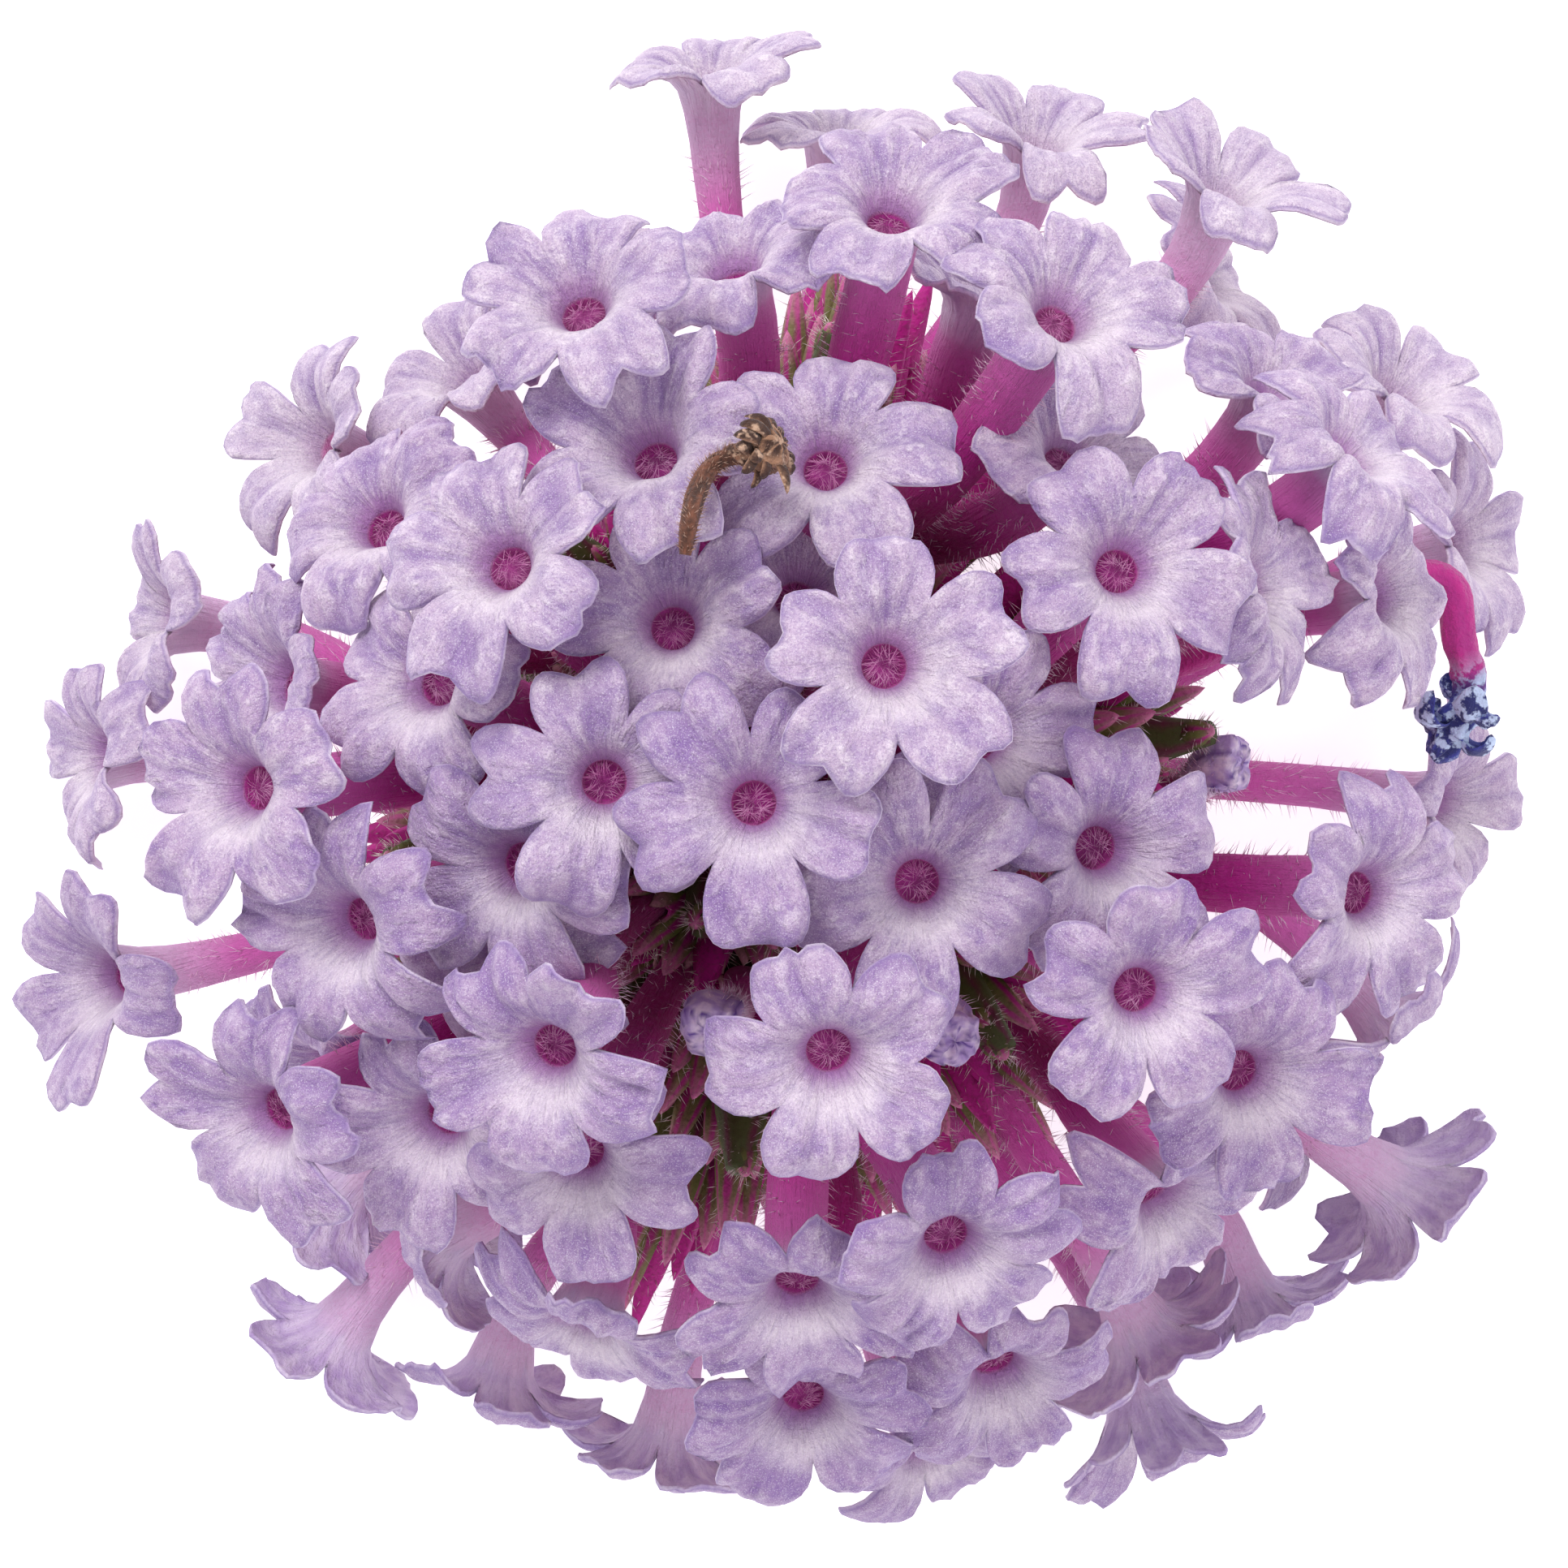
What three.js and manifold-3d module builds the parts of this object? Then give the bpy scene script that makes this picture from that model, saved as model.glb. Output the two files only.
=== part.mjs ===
// Verbena flower head, as picked, resting dome-up on its lowest petals. Millimetres, +Z up.
// Seven flower spikes radiate from the top of a short square stem. Each spike is a rachis packed with
// calyces and tipped with a cone of buds. A long curved tube leaves each open calyx and flares into a
// limb of five notched petals.
import * as THREE from 'three';
import { mergeVertices } from 'three/addons/utils/BufferGeometryUtils.js';
import Module from 'manifold-3d';

const wasm = await Module();
wasm.setup();

// ---------- driving dimensions ----------

const FOCUS = new THREE.Vector3(-0.24, 0.28, 7.6); // where the spikes' axes meet, above the rest plane z = 0
const GAP = 0.3; // between neighbouring nodes

const PETALS = 5;
const LIMB_RADIUS = 3.5; // throat centre to petal tip
const PETAL_THICKNESS = 0.6;
const THROAT_RADIUS = 0.6;
const THROAT_DEPTH = 1.1;
const FUNNEL_RISE = 1.7; // how far the limb flares forward of its throat
const FUNNEL_LENGTH = 0.9;
const REFLEX_SPREAD = 1.4; // how far the tips of the most recurved petals bend back
const PITCH_SPREAD = 28; // degrees between the most forward and the most backward petal
const TWIST_SPREAD = 36; // degrees between the most turned petals
const LENGTH_SPREAD = 0.12;
const LIP = new THREE.Vector3(0.25, -1, -0.2); // the way that the limbs' lower lips lie
const LIP_SHARE = 0.07; // how much longer their petals are
const REST_FLAT = 0.12; // depth of a resting petal's edge that the surface presses flat

// Half of a petal's outline: degrees from its middle, and share of the limb's radius.
const NOTCH = { angle: 0, reach: 0.92 };
const LOBE = { angle: 14, reach: 0.98 };
const SHOULDER = { angle: 25, reach: 0.86 };
const VALLEY = { angle: 36, reach: 0.54 };

const TUBE_RADII = [0.5, 0.62, 0.92]; // from the calyx to the underside of the limb
const TUBE_STATIONS = [0, 0.7, 1];
const TUBE_RISE = 0.42; // how strongly the tube follows its calyx, as a share of its length
const TUBE_NOD = 0.36; // how strongly it follows its limb

const CALYX_LENGTH = 4.4; // from the axis of the rachis to the mouth
const CALYX_RADII = [0.42, 0.66];
const MOUTH_SPACING = 1.75;
const MOUTH_SPREAD = [1.5, 3.9]; // nearest and furthest that a mouth stands from the rachis
const SETTLE_ROUNDS = 60;
const OPEN_ZONE = [0.8, 0.52]; // where the mouths stand along a spike, as shares of its length
const WIDEST_FLORET = 52; // degrees from its spike's axis at which a floret grows at the bottom of that zone

const RACHIS_START = 2.9;
const RACHIS_RADII = [0.75, 1.15, 0.9, 0.35];
const RACHIS_STATIONS = [0, 0.35, 0.75, 0.97];
const BUDS = 12;
const BUD_ZONE = [0.42, 0.99];
const BUD_LENGTHS = [3.4, 1.5];
const BUD_LEANS = [62, 8]; // degrees from the rachis, at the bottom and at the top
const BUD_RADIUS = 0.56;
const BUD_ROOT = 0.5; // how much of a bud's length is left out where it would sink deep into the rachis
const BUD_LEAN_SPREAD = 8;
const GOLDEN_ANGLE = 137.508;
const SLEEVE_START = 0.06; // where the space kept round a tube begins, as a share of its length

const STEM_WIDTH = 2.6;
const STEM_FOOT = new THREE.Vector3(0.9, 1.9, -6.8); // from the focus to the cut end
const STEM_TOP = 0.4; // how far the stub runs past the focus
const STEM_GROOVE = 0.8; // how far in its faces' middles lie, as a share of half its width
const BRANCH_RADIUS = 0.8;

const LILAC = { color: 0xc3b2dd, roughness: 0.6, metalness: 0 };
const CALYX_GREEN = { color: 0x6d5a3c, roughness: 0.7, metalness: 0 };
const STEM_GREEN = { color: 0x5f7a3a, roughness: 0.7, metalness: 0 };
const DRY = { roughness: 0.85, metalness: 0 };

// The spikes: name, bearing of the axis from +X and lean from +Z in degrees, length from the focus.
const SPIKES = [
  ['spike_centre', 245, 19, 14.6],
  ['spike_top', 82, 60, 15.8],
  ['spike_right', 6, 58, 15.8],
  ['spike_lower_right', 311, 47, 14.6],
  ['spike_bottom', 265, 54, 14.6],
  ['spike_left', 192, 54, 14.6],
  ['spike_upper_left', 130, 40, 14.6],
];

// The open florets: number, bearing and lean of the throat as seen from the focus, its distance from there,
// and the bearing of one petal. Where the limb doesn't face straight out, the next two turn it: the degrees
// that it nods, less than nothing towards +Z, and those that it swings round Z. The last is how far its
// petals stand forward, in degrees.
const FLORETS = [
  [1, 95, 96, 21.9, 20, -34, -2],
  [2, 84, 106, 21.0, 20, -38],
  [3, 78, 43, 23.0, 39, 2, 0, -4],
  [4, 67, 100, 21.8, 70, -42, 12, 6],
  [5, 52, 88, 22.3, 100, -28, 16, 4],
  [6, 50, 100, 21.2, 70, -30, -30],
  [7, 94, 44, 20.2, 65, 12, 12, -4],
  [8, 112, 35, 23.7, 10, -2],
  [9, 114, 103, 16.8, 40, -46],
  [10, 127, 92, 15.3, 26, -38, 4, 8],
  [11, 143, 92, 17.2, 95, -44, 20, 12],
  [12, 58, 38, 23.8, 4, -2, -4],
  [13, 66, 53, 18.2, 20, 6],
  [14, 47, 41, 18.5, 55, 2, 0, -8],
  [15, 37, 66, 19.9, 50, -4, 20],
  [16, 31, 30, 22.0, 50, -14],
  [17, 110, 25, 21.7, -2, 8, 12],
  [18, 80, 24, 21.0, 5, -2, 12],
  [19, 123, 14, 20.2, 100],
  [20, 45, 10, 24.2, 93, 0, 0, 4],
  [21, 141, 23, 23.0, 32, 4, 4],
  [22, 147, 41, 19.7, 38, -4, -8, -8],
  [23, 164, 28, 20.2, -3, 4, 4, -4],
  [24, 181, 12, 21.5, 105, -12, 0, -8],
  [25, 234, 2, 22.4, 56],
  [26, 325, 13, 21.3, 46, -8, -4],
  [27, 11, 18, 18.6, 76],
  [28, 348, 27, 20.1, 14, -4],
  [29, 330, 29, 23.4, 16, -12, 4],
  [30, 282, 18, 23.8, 41],
  [31, 231, 23, 23.5, 50, 6, -12, 12],
  [32, 243, 32, 21.5, 63, -6],
  [33, 291, 35, 23.2, 26, -4],
  [34, 273, 41, 21.3, -11, 0, 0, -4],
  [35, 199, 33, 21.7, 22, 8, 4, 4],
  [36, 181, 37, 23.3, 18, 0, 0, -4],
  [37, 169, 49, 18.4, 60, 4],
  [38, 165, 103, 20.0, 95, -38, 10, 8],
  [39, 178, 103, 21.7, 100, -42, 4],
  [40, 197, 100, 21.9, 55, -52, -10, 18],
  [41, 214, 46, 22.9, 16, -6, -10],
  [42, 199, 21, 19.9, 66, 4, 4],
  [43, 215, 29, 17.3, 29, 8, 0, -4],
  [44, 22, 43, 20.7, 78, 24, -8, -4],
  [45, 29, 55, 22.6, 45, 14, 18, -8],
  [46, 17, 62, 20.6, 75, -6, -6],
  [47, 31, 92, 22.6, 100, -36, 26, 6],
  [48, 19, 97, 22.8, 75, -44, -8],
  [49, 349, 53, 21.3, 10, -18],
  [50, 358, 104, 21.9, 80, -50, -8],
  [51, 328, 46, 21.5, 62, -16, 0, -8],
  [52, 339, 91, 20.4, 20, -2, -26, -8],
  [53, 313, 53, 20.1, -2, 4],
  [54, 328, 103, 19.9, 36, -34, -8, 8],
  [55, 327, 95, 22.8, 39, 14, 0, 12],
  [56, 313, 101, 22.4, -5, 6, -24],
  [57, 304, 90, 20.2, 19, 24, -6, -8],
  [58, 301, 100, 22.9, 270, -24, -14, 42],
  [59, 291, 62, 20.6, 0, -14],
  [60, 273, 58, 21.0, 30, -28],
  [61, 251, 52, 20.3, 10, 8, 0, -8],
  [62, 235, 84, 16.7, 290, 34, -32],
  [63, 223, 102, 18.2, 342, 14, 0, 12],
  [64, 232, 101, 22.4, 22, 8, 1, 4],
  [65, 245, 97, 20.3, 0, 0, 10, 4],
  [66, 261, 99, 20.8, 20, 6, 2],
  [67, 283, 99, 21.8, 15, -46, 14],
  [69, 226, 40, 20.3, 36, -8, -4],
  [70, 82, 17, 17.2, 36, 12, 0, -4],
  [71, 214, 56, 18.0, 47],
];

// The corollas that haven't opened: number, bearing and lean of the tip, its distance from the focus.
const CLOSED = [
  [72, 305, 32, 17.4],
  [73, 256, 25, 17.6],
  [74, 2, 62, 16.1],
];
const CLOSED_RADII = [0.5, 0.6, 0.82, 0.5];
const CLOSED_STATIONS = [0, 0.55, 0.86, 1];

// The corollas that have withered: whether each still sits in a calyx, and the points that it passes on its
// way out, as bearing, lean and distance from the focus.
const WITHERED = [
  {
    name: 'withered_brown',
    color: 0x8a6a43,
    rooted: false,
    path: [[111, 15, 24.4], [107, 17, 24.7], [102, 20, 24.2], [97, 21, 24.1], [92, 21, 24.3], [88, 21, 24.7]],
  },
  {
    name: 'withered_blue',
    color: 0x6a5f96,
    rooted: true,
    path: [[17, 76, 16.7], [17, 85, 21.4], [11, 85, 21.7], [8, 86, 21.8], [5, 87, 21.4], [2, 88, 20.6]],
  },
];
const WITHERED_RADII = [0.42, 0.4, 0.42, 0.45, 0.5, 0.85, 0.6];
const CRUMPLE = 0.35; // share by which a withered corolla's sides sink in or stand out

// ---------- plain helpers ----------

const radians = THREE.MathUtils.degToRad;
const lerp = THREE.MathUtils.lerp;

/** A repeatable draw between 0 and 1 for the kth property of number n. */
function draw(n, k) {
  const wave = Math.sin(n * 12.9898 + k * 78.233) * 437.5453;
  return wave - Math.floor(wave);
}

/** The unit vector at a bearing from +X and a lean from +Z, both in degrees. */
function direction(bearing, lean) {
  const across = Math.sin(radians(lean));
  return new THREE.Vector3(
    across * Math.cos(radians(bearing)),
    across * Math.sin(radians(bearing)),
    Math.cos(radians(lean)),
  );
}

/** The part of a vector square to an axis, made one unit long. */
function squareTo(axis, vector) {
  return vector.clone().addScaledVector(axis, -vector.dot(axis)).normalize();
}

/** A closed body from a geometry whose shared vertices are merged first. */
function bodyOf(geometry) {
  geometry.deleteAttribute('normal');
  geometry.deleteAttribute('uv');
  const merged = mergeVertices(geometry, 1e-4);
  const vertProperties = new Float32Array(merged.getAttribute('position').array);
  const triVerts = new Uint32Array(merged.getIndex().array);
  return new wasm.Manifold(new wasm.Mesh({ numProp: 3, vertProperties, triVerts }));
}

/** The geometry of a body's largest piece. */
function geometryOf(body) {
  const pieces = body.decompose().sort((a, b) => b.volume() - a.volume());
  const mesh = pieces[0].getMesh();
  const geometry = new THREE.BufferGeometry();
  geometry.setAttribute('position', new THREE.BufferAttribute(new Float32Array(mesh.vertProperties), 3));
  geometry.setIndex(new THREE.BufferAttribute(new Uint32Array(mesh.triVerts), 1));
  return geometry;
}

/** A geometry from corner points and triangles of their indices. */
function indexed(points, triangles) {
  const geometry = new THREE.BufferGeometry().setFromPoints(points);
  geometry.setIndex(triangles.flat());
  return geometry;
}

/** Points round a centre, square to an axis, the first one towards a given side. */
function ring(centre, axis, side, radius, count, turn = 0) {
  const first = squareTo(axis, side);
  const second = new THREE.Vector3().crossVectors(axis, first);
  return Array.from({ length: count }, (_, k) => {
    const angle = radians(turn) + (k / count) * 2 * Math.PI;
    const point = centre.clone().addScaledVector(first, radius * Math.cos(angle));
    return point.addScaledVector(second, radius * Math.sin(angle));
  });
}

/** Joins rings of equal count, each above the last along their axis, into a closed body with flat ends. */
function loft(rings) {
  const count = rings[0].length;
  const triangles = [];
  for (let level = 0; level < rings.length - 1; level += 1) {
    const low = level * count;
    const high = low + count;
    for (let k = 0; k < count; k += 1) {
      const next = (k + 1) % count;
      triangles.push([low + k, low + next, high + next], [low + k, high + next, high + k]);
    }
  }
  const top = (rings.length - 1) * count;
  for (let k = 1; k < count - 1; k += 1) {
    triangles.push([0, k + 1, k], [top, top + k, top + k + 1]);
  }
  return indexed(rings.flat(), triangles);
}

// ---------- spikes, calyces and the places of the florets ----------

const spikes = SPIKES.map(([name, bearing, lean, length]) => {
  return { name, axis: direction(bearing, lean), length };
});

/** The spike whose axis stands nearest to a direction. */
function nearestSpike(outward) {
  return spikes.reduce((best, other) => (outward.dot(other.axis) > outward.dot(best.axis) ? other : best));
}

const florets = FLORETS.map(([number, bearing, lean, reach, petalBearing, nod = 0, swing = 0, cup = 0]) => {
  const outward = direction(bearing, lean);
  const facing = direction(bearing + swing, lean + nod);
  const petal = squareTo(facing, direction(petalBearing, 90));
  const throat = FOCUS.clone().addScaledVector(outward, reach);
  const side = new THREE.Vector3().crossVectors(facing, petal);
  const spike = nearestSpike(outward);
  return { number, cup, outward, facing, petal, side, spike, throat, limbRadius: LIMB_RADIUS };
});

const closed = CLOSED.map(([number, bearing, lean, reach]) => {
  const outward = direction(bearing, lean);
  const throat = FOCUS.clone().addScaledVector(outward, reach);
  const petal = squareTo(outward, new THREE.Vector3(0, 1, 0));
  return { number, outward, facing: outward, petal, spike: nearestSpike(outward), throat, limbRadius: 0 };
});

const withered = WITHERED.map(({ path, ...row }, index) => {
  const points = path.map(([bearing, lean, reach]) => {
    return FOCUS.clone().addScaledVector(direction(bearing, lean), reach);
  });
  const outward = direction(path[0][0], path[0][1]);
  const placed = { points, throat: points[0], outward, facing: outward, petal: new THREE.Vector3(0, 0, 1) };
  return { ...row, ...placed, number: 80 + index, spike: nearestSpike(outward), limbRadius: 0 };
});

const corollas = [...florets, ...closed, ...withered];
const seated = [...florets, ...closed, ...withered.filter((corolla) => corolla.rooted)];

/** Puts each open calyx's mouth on its spike, on its floret's side and lower for one that faces away. */
function placeMouths() {
  for (const floret of seated) {
    const { axis, length } = floret.spike;
    const away = THREE.MathUtils.radToDeg(floret.outward.angleTo(axis)) / WIDEST_FLORET;
    const share = Math.min(1, away);
    floret.along = length * lerp(OPEN_ZONE[0], OPEN_ZONE[1], share);
    const spread = lerp(MOUTH_SPREAD[0], MOUTH_SPREAD[1], Math.sqrt(share));
    floret.mouth = FOCUS.clone().addScaledVector(axis, floret.along);
    floret.mouth.addScaledVector(squareTo(axis, floret.outward), spread);
  }
}

/** Keeps a mouth within its spike's reach. */
function keepOnSpike(floret) {
  const { axis, length } = floret.spike;
  const fromFocus = floret.mouth.clone().sub(FOCUS);
  const along = THREE.MathUtils.clamp(fromFocus.dot(axis), length * OPEN_ZONE[1], length * OPEN_ZONE[0]);
  const outward = fromFocus.addScaledVector(axis, -fromFocus.dot(axis));
  outward.clampLength(MOUTH_SPREAD[0], MOUTH_SPREAD[1]);
  floret.mouth = FOCUS.clone().addScaledVector(axis, along).add(outward);
}

/** Moves mouths that stand too close apart, a little each round, until each calyx has room. */
function settleMouths() {
  for (let round = 0; round < SETTLE_ROUNDS; round += 1) {
    for (let i = 0; i < seated.length; i += 1) {
      for (let j = i + 1; j < seated.length; j += 1) {
        const between = seated[j].mouth.clone().sub(seated[i].mouth);
        const lack = MOUTH_SPACING - between.length();
        if (lack > 0) {
          between.setLength(lack / 2);
          seated[i].mouth.sub(between);
          seated[j].mouth.add(between);
        }
      }
    }
    seated.forEach(keepOnSpike);
  }
}

/** Roots each calyx on the axis of its rachis. */
function rootCalyces() {
  for (const floret of seated) {
    const { axis } = floret.spike;
    const fromFocus = floret.mouth.clone().sub(FOCUS);
    const along = fromFocus.dot(axis);
    const spread = Math.sqrt(fromFocus.lengthSq() - along * along);
    const drop = Math.sqrt(CALYX_LENGTH * CALYX_LENGTH - spread * spread);
    floret.root = FOCUS.clone().addScaledVector(axis, along - drop);
    floret.calyxAxis = floret.mouth.clone().sub(floret.root).normalize();
    floret.tubeStart = floret.mouth.clone().addScaledVector(floret.calyxAxis, GAP);
  }
}

/** The centre line of a corolla's tube, from its calyx to its limb's underside or to its withered end. */
function tubeLine(floret) {
  if (floret.points) {
    return new THREE.CatmullRomCurve3(floret.rooted ? [floret.tubeStart, ...floret.points] : floret.points);
  }
  const top = floret.throat.clone().addScaledVector(floret.facing, -PETAL_THICKNESS);
  const span = top.distanceTo(floret.tubeStart);
  return new THREE.CubicBezierCurve3(
    floret.tubeStart,
    floret.tubeStart.clone().addScaledVector(floret.calyxAxis, TUBE_RISE * span),
    top.clone().addScaledVector(floret.facing, -TUBE_NOD * span),
    top,
  );
}

// ---------- one floret ----------

/** How far a petal turned by these degrees from its middle stands forward of the throat, at a radius. */
function limbHeight({ number, cup }, petal, angle, radius) {
  const beyond = radius - THROAT_RADIUS;
  const flare = FUNNEL_RISE * (1 - Math.exp(-beyond / FUNNEL_LENGTH));
  const reflex = REFLEX_SPREAD * draw(number, petal + 3 * PETALS) * (radius / LIMB_RADIUS) ** 4;
  const toSide = Math.abs(angle) / VALLEY.angle;
  const neighbour = (petal + (angle > 0 ? 1 : PETALS - 1)) % PETALS;
  const shared = toSide ** 3 / 2;
  const pitch = (which) => Math.tan(radians(cup + PITCH_SPREAD * (draw(number, which) - 0.5)));
  const lift = beyond * lerp(pitch(petal), pitch(neighbour), shared);
  const turn = Math.tan(radians(TWIST_SPREAD * (draw(number, petal + PETALS) - 0.5)));
  const twist = turn * radius * Math.sin(radians(angle)) * (1 - toSide * toSide);
  return flare - reflex + lift + twist;
}

/** A point on a floret's upper face, or one below it. */
function limbPoint(floret, petal, angle, radius, below) {
  const turn = radians((petal * 360) / PETALS + angle);
  const height = limbHeight(floret, petal, angle, radius) - below;
  return floret.throat
    .clone()
    .addScaledVector(floret.petal, radius * Math.cos(turn))
    .addScaledVector(floret.side, radius * Math.sin(turn))
    .addScaledVector(floret.facing, height);
}

/** How long a petal is beside the others. Those of the lower lip are longer. */
function petalLength(floret, petal) {
  const own = LENGTH_SPREAD * (draw(floret.number, petal + 2 * PETALS) - 0.5);
  const lipTurn = Math.atan2(LIP.dot(floret.side), LIP.dot(floret.petal));
  return 1 + own + LIP_SHARE * Math.cos(radians((petal * 360) / PETALS) - lipTurn);
}

/** The thirty points round a limb's edge. The first of each petal's six is its left shoulder. */
function limbEdge(floret, below) {
  const edge = [];
  for (let petal = 0; petal < PETALS; petal += 1) {
    const size = LIMB_RADIUS * petalLength(floret, petal);
    const at = ({ angle, reach }, sign) => limbPoint(floret, petal, sign * angle, size * reach, below);
    const valley = limbPoint(floret, petal, VALLEY.angle, LIMB_RADIUS * VALLEY.reach, below);
    edge.push(at(SHOULDER, -1), at(LOBE, -1), at(NOTCH, 1), at(LOBE, 1), at(SHOULDER, 1), valley);
  }
  return edge;
}

/** The triangles of one face of a limb between its edge and the ring round its throat, seen from above. */
function limbFace(edgeStart, ringStart) {
  const perPetal = 6;
  const edgeCount = perPetal * PETALS;
  const triangles = [];
  for (let petal = 0; petal < PETALS; petal += 1) {
    const before = ringStart + ((petal + PETALS - 1) % PETALS);
    const after = ringStart + petal;
    const at = (k) => edgeStart + ((petal * perPetal + k + edgeCount) % edgeCount);
    triangles.push([before, at(-1), at(0)], [before, at(0), at(1)], [before, at(1), at(2)]);
    triangles.push([before, at(2), after]);
    triangles.push([after, at(2), at(3)], [after, at(3), at(4)], [after, at(4), at(5)]);
  }
  return triangles;
}

/** Triangles between two loops of equal count, with the second loop below or inside the first. */
function band(upperStart, lowerStart, count) {
  const triangles = [];
  for (let k = 0; k < count; k += 1) {
    const next = (k + 1) % count;
    triangles.push([upperStart + k, lowerStart + k, lowerStart + next]);
    triangles.push([upperStart + k, lowerStart + next, upperStart + next]);
  }
  return triangles;
}

/** A whole corolla: limb, open throat and tube, as one closed body. */
function floretBody(floret) {
  const points = [];
  const addLoop = (loop) => points.push(...loop) - loop.length;
  const flip = (triangles) => triangles.map(([a, b, c]) => [a, c, b]);
  const valleyTurn = 360 / PETALS / 2;
  const around = (centre, radius) => ring(centre, floret.facing, floret.petal, radius, PETALS, valleyTurn);
  const upperEdge = addLoop(limbEdge(floret, 0));
  const lowerEdge = addLoop(limbEdge(floret, PETAL_THICKNESS));
  const throat = addLoop(around(floret.throat, THROAT_RADIUS));
  const pit = addLoop([floret.throat.clone().addScaledVector(floret.facing, -THROAT_DEPTH)]);
  const line = tubeLine(floret);
  const levels = TUBE_STATIONS.map((station, k) => {
    const tangent = line.getTangent(station);
    return ring(line.getPoint(station), tangent, floret.petal, TUBE_RADII[k], PETALS, valleyTurn);
  });
  const tubeRings = levels.reverse().map(addLoop);
  const triangles = [
    ...limbFace(upperEdge, throat),
    ...flip(limbFace(lowerEdge, tubeRings[0])),
    ...band(upperEdge, lowerEdge, 6 * PETALS),
  ];
  for (let level = 0; level < tubeRings.length - 1; level += 1) {
    triangles.push(...band(tubeRings[level], tubeRings[level + 1], PETALS));
  }
  for (let k = 0; k < PETALS; k += 1) {
    triangles.push([throat + k, throat + ((k + 1) % PETALS), pit]);
  }
  const end = tubeRings.at(-1);
  for (let k = 1; k < PETALS - 1; k += 1) {
    triangles.push([end, end + k + 1, end + k]);
  }
  return bodyOf(indexed(points, triangles));
}

/** A corolla that is still furled: a tube with a blunt, folded head. */
function closedBody(floret) {
  const line = tubeLine(floret);
  const rings = CLOSED_STATIONS.map((station, k) => {
    return ring(line.getPoint(station), line.getTangent(station), floret.petal, CLOSED_RADII[k], PETALS);
  });
  return bodyOf(loft(rings));
}

/** A withered corolla: a thin, bent tube with a crumpled head. */
function witheredBody(floret) {
  const line = tubeLine(floret);
  const rings = WITHERED_RADII.map((radius, k) => {
    const station = k / (WITHERED_RADII.length - 1);
    const centre = line.getPoint(station);
    return ring(centre, line.getTangent(station), floret.petal, radius, PETALS).map((point, j) => {
      const share = 1 + CRUMPLE * (draw(floret.number, k * PETALS + j) - 0.5);
      return centre.clone().lerp(point, share);
    });
  });
  return bodyOf(loft(rings));
}

/** Lifts a floret that would dip below the rest plane, so that only its lowest edge is pressed flat on it. */
function liftOntoSurface(floret) {
  const edges = [...limbEdge(floret, 0), ...limbEdge(floret, PETAL_THICKNESS)];
  const lowest = Math.min(...edges.map((point) => point.z));
  floret.throat.z += Math.max(0, -REST_FLAT - lowest);
}

// ---------- one spike ----------

/** An open calyx: a slim body, square in section, that widens to its mouth. */
function calyxBody(floret) {
  const side = floret.spike.axis;
  const ends = [floret.root, floret.mouth];
  return bodyOf(loft(ends.map((centre, k) => ring(centre, floret.calyxAxis, side, CALYX_RADII[k], 4, 45))));
}

/** A closed bud: a pointed body with three sides, widest at its middle. */
function budBody(root, tip, radius, side) {
  const axis = tip.clone().sub(root).normalize();
  const middle = root.clone().lerp(tip, 0.5);
  const low = ring(root, axis, side, radius * 0.6, 3);
  const wide = ring(middle, axis, side, radius, 3);
  const triangles = [[0, 2, 1]];
  for (let k = 0; k < 3; k += 1) {
    const next = (k + 1) % 3;
    triangles.push([k, next, next + 3], [k, next + 3, k + 3], [k + 3, next + 3, 6]);
  }
  return bodyOf(indexed([...low, ...wide, tip], triangles));
}

/** True if the line from one point to another comes within a distance of any floret's tube or limb. */
function meetsFloret(from, to, distance) {
  const probes = [0, 0.25, 0.5, 0.75, 1].map((share) => from.clone().lerp(to, share));
  return corollas.some((floret) => probes.some((probe) => {
    const fromThroat = probe.clone().sub(floret.throat);
    const height = fromThroat.dot(floret.facing);
    const acrossLimb = fromThroat.addScaledVector(floret.facing, -height).length();
    const inLimb = Math.abs(height) < distance + PETAL_THICKNESS && acrossLimb < floret.limbRadius + distance;
    return inLimb || floret.tubePoints.some((point) => point.distanceTo(probe) < distance);
  }));
}

/** The closed buds of a spike, on a spiral that tightens to its tip, where florets leave them room. */
function budBodies(spike, index) {
  const bodies = [];
  const side = squareTo(spike.axis, new THREE.Vector3(0, 0, 1));
  for (let k = 0; k < BUDS; k += 1) {
    const share = k / (BUDS - 1);
    const length = lerp(BUD_LENGTHS[0], BUD_LENGTHS[1], share);
    const radius = BUD_RADIUS * lerp(1, 0.75, share);
    const lean = radians(lerp(BUD_LEANS[0], BUD_LEANS[1], share) + BUD_LEAN_SPREAD * (draw(index, k) - 0.5));
    const outward = side.clone().applyAxisAngle(spike.axis, radians(GOLDEN_ANGLE * (k + index)));
    const axis = spike.axis.clone().multiplyScalar(Math.cos(lean)).addScaledVector(outward, Math.sin(lean));
    const along = spike.length * lerp(BUD_ZONE[0], BUD_ZONE[1], share);
    const tip = FOCUS.clone().addScaledVector(spike.axis, along);
    tip.addScaledVector(outward, Math.sin(lean) * length);
    const root = tip.clone().addScaledVector(axis, BUD_ROOT - length);
    if (!meetsFloret(root, tip, GAP + radius + TUBE_RADII[1])) {
      bodies.push(budBody(root, tip, radius, spike.axis));
    }
  }
  return bodies;
}

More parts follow.
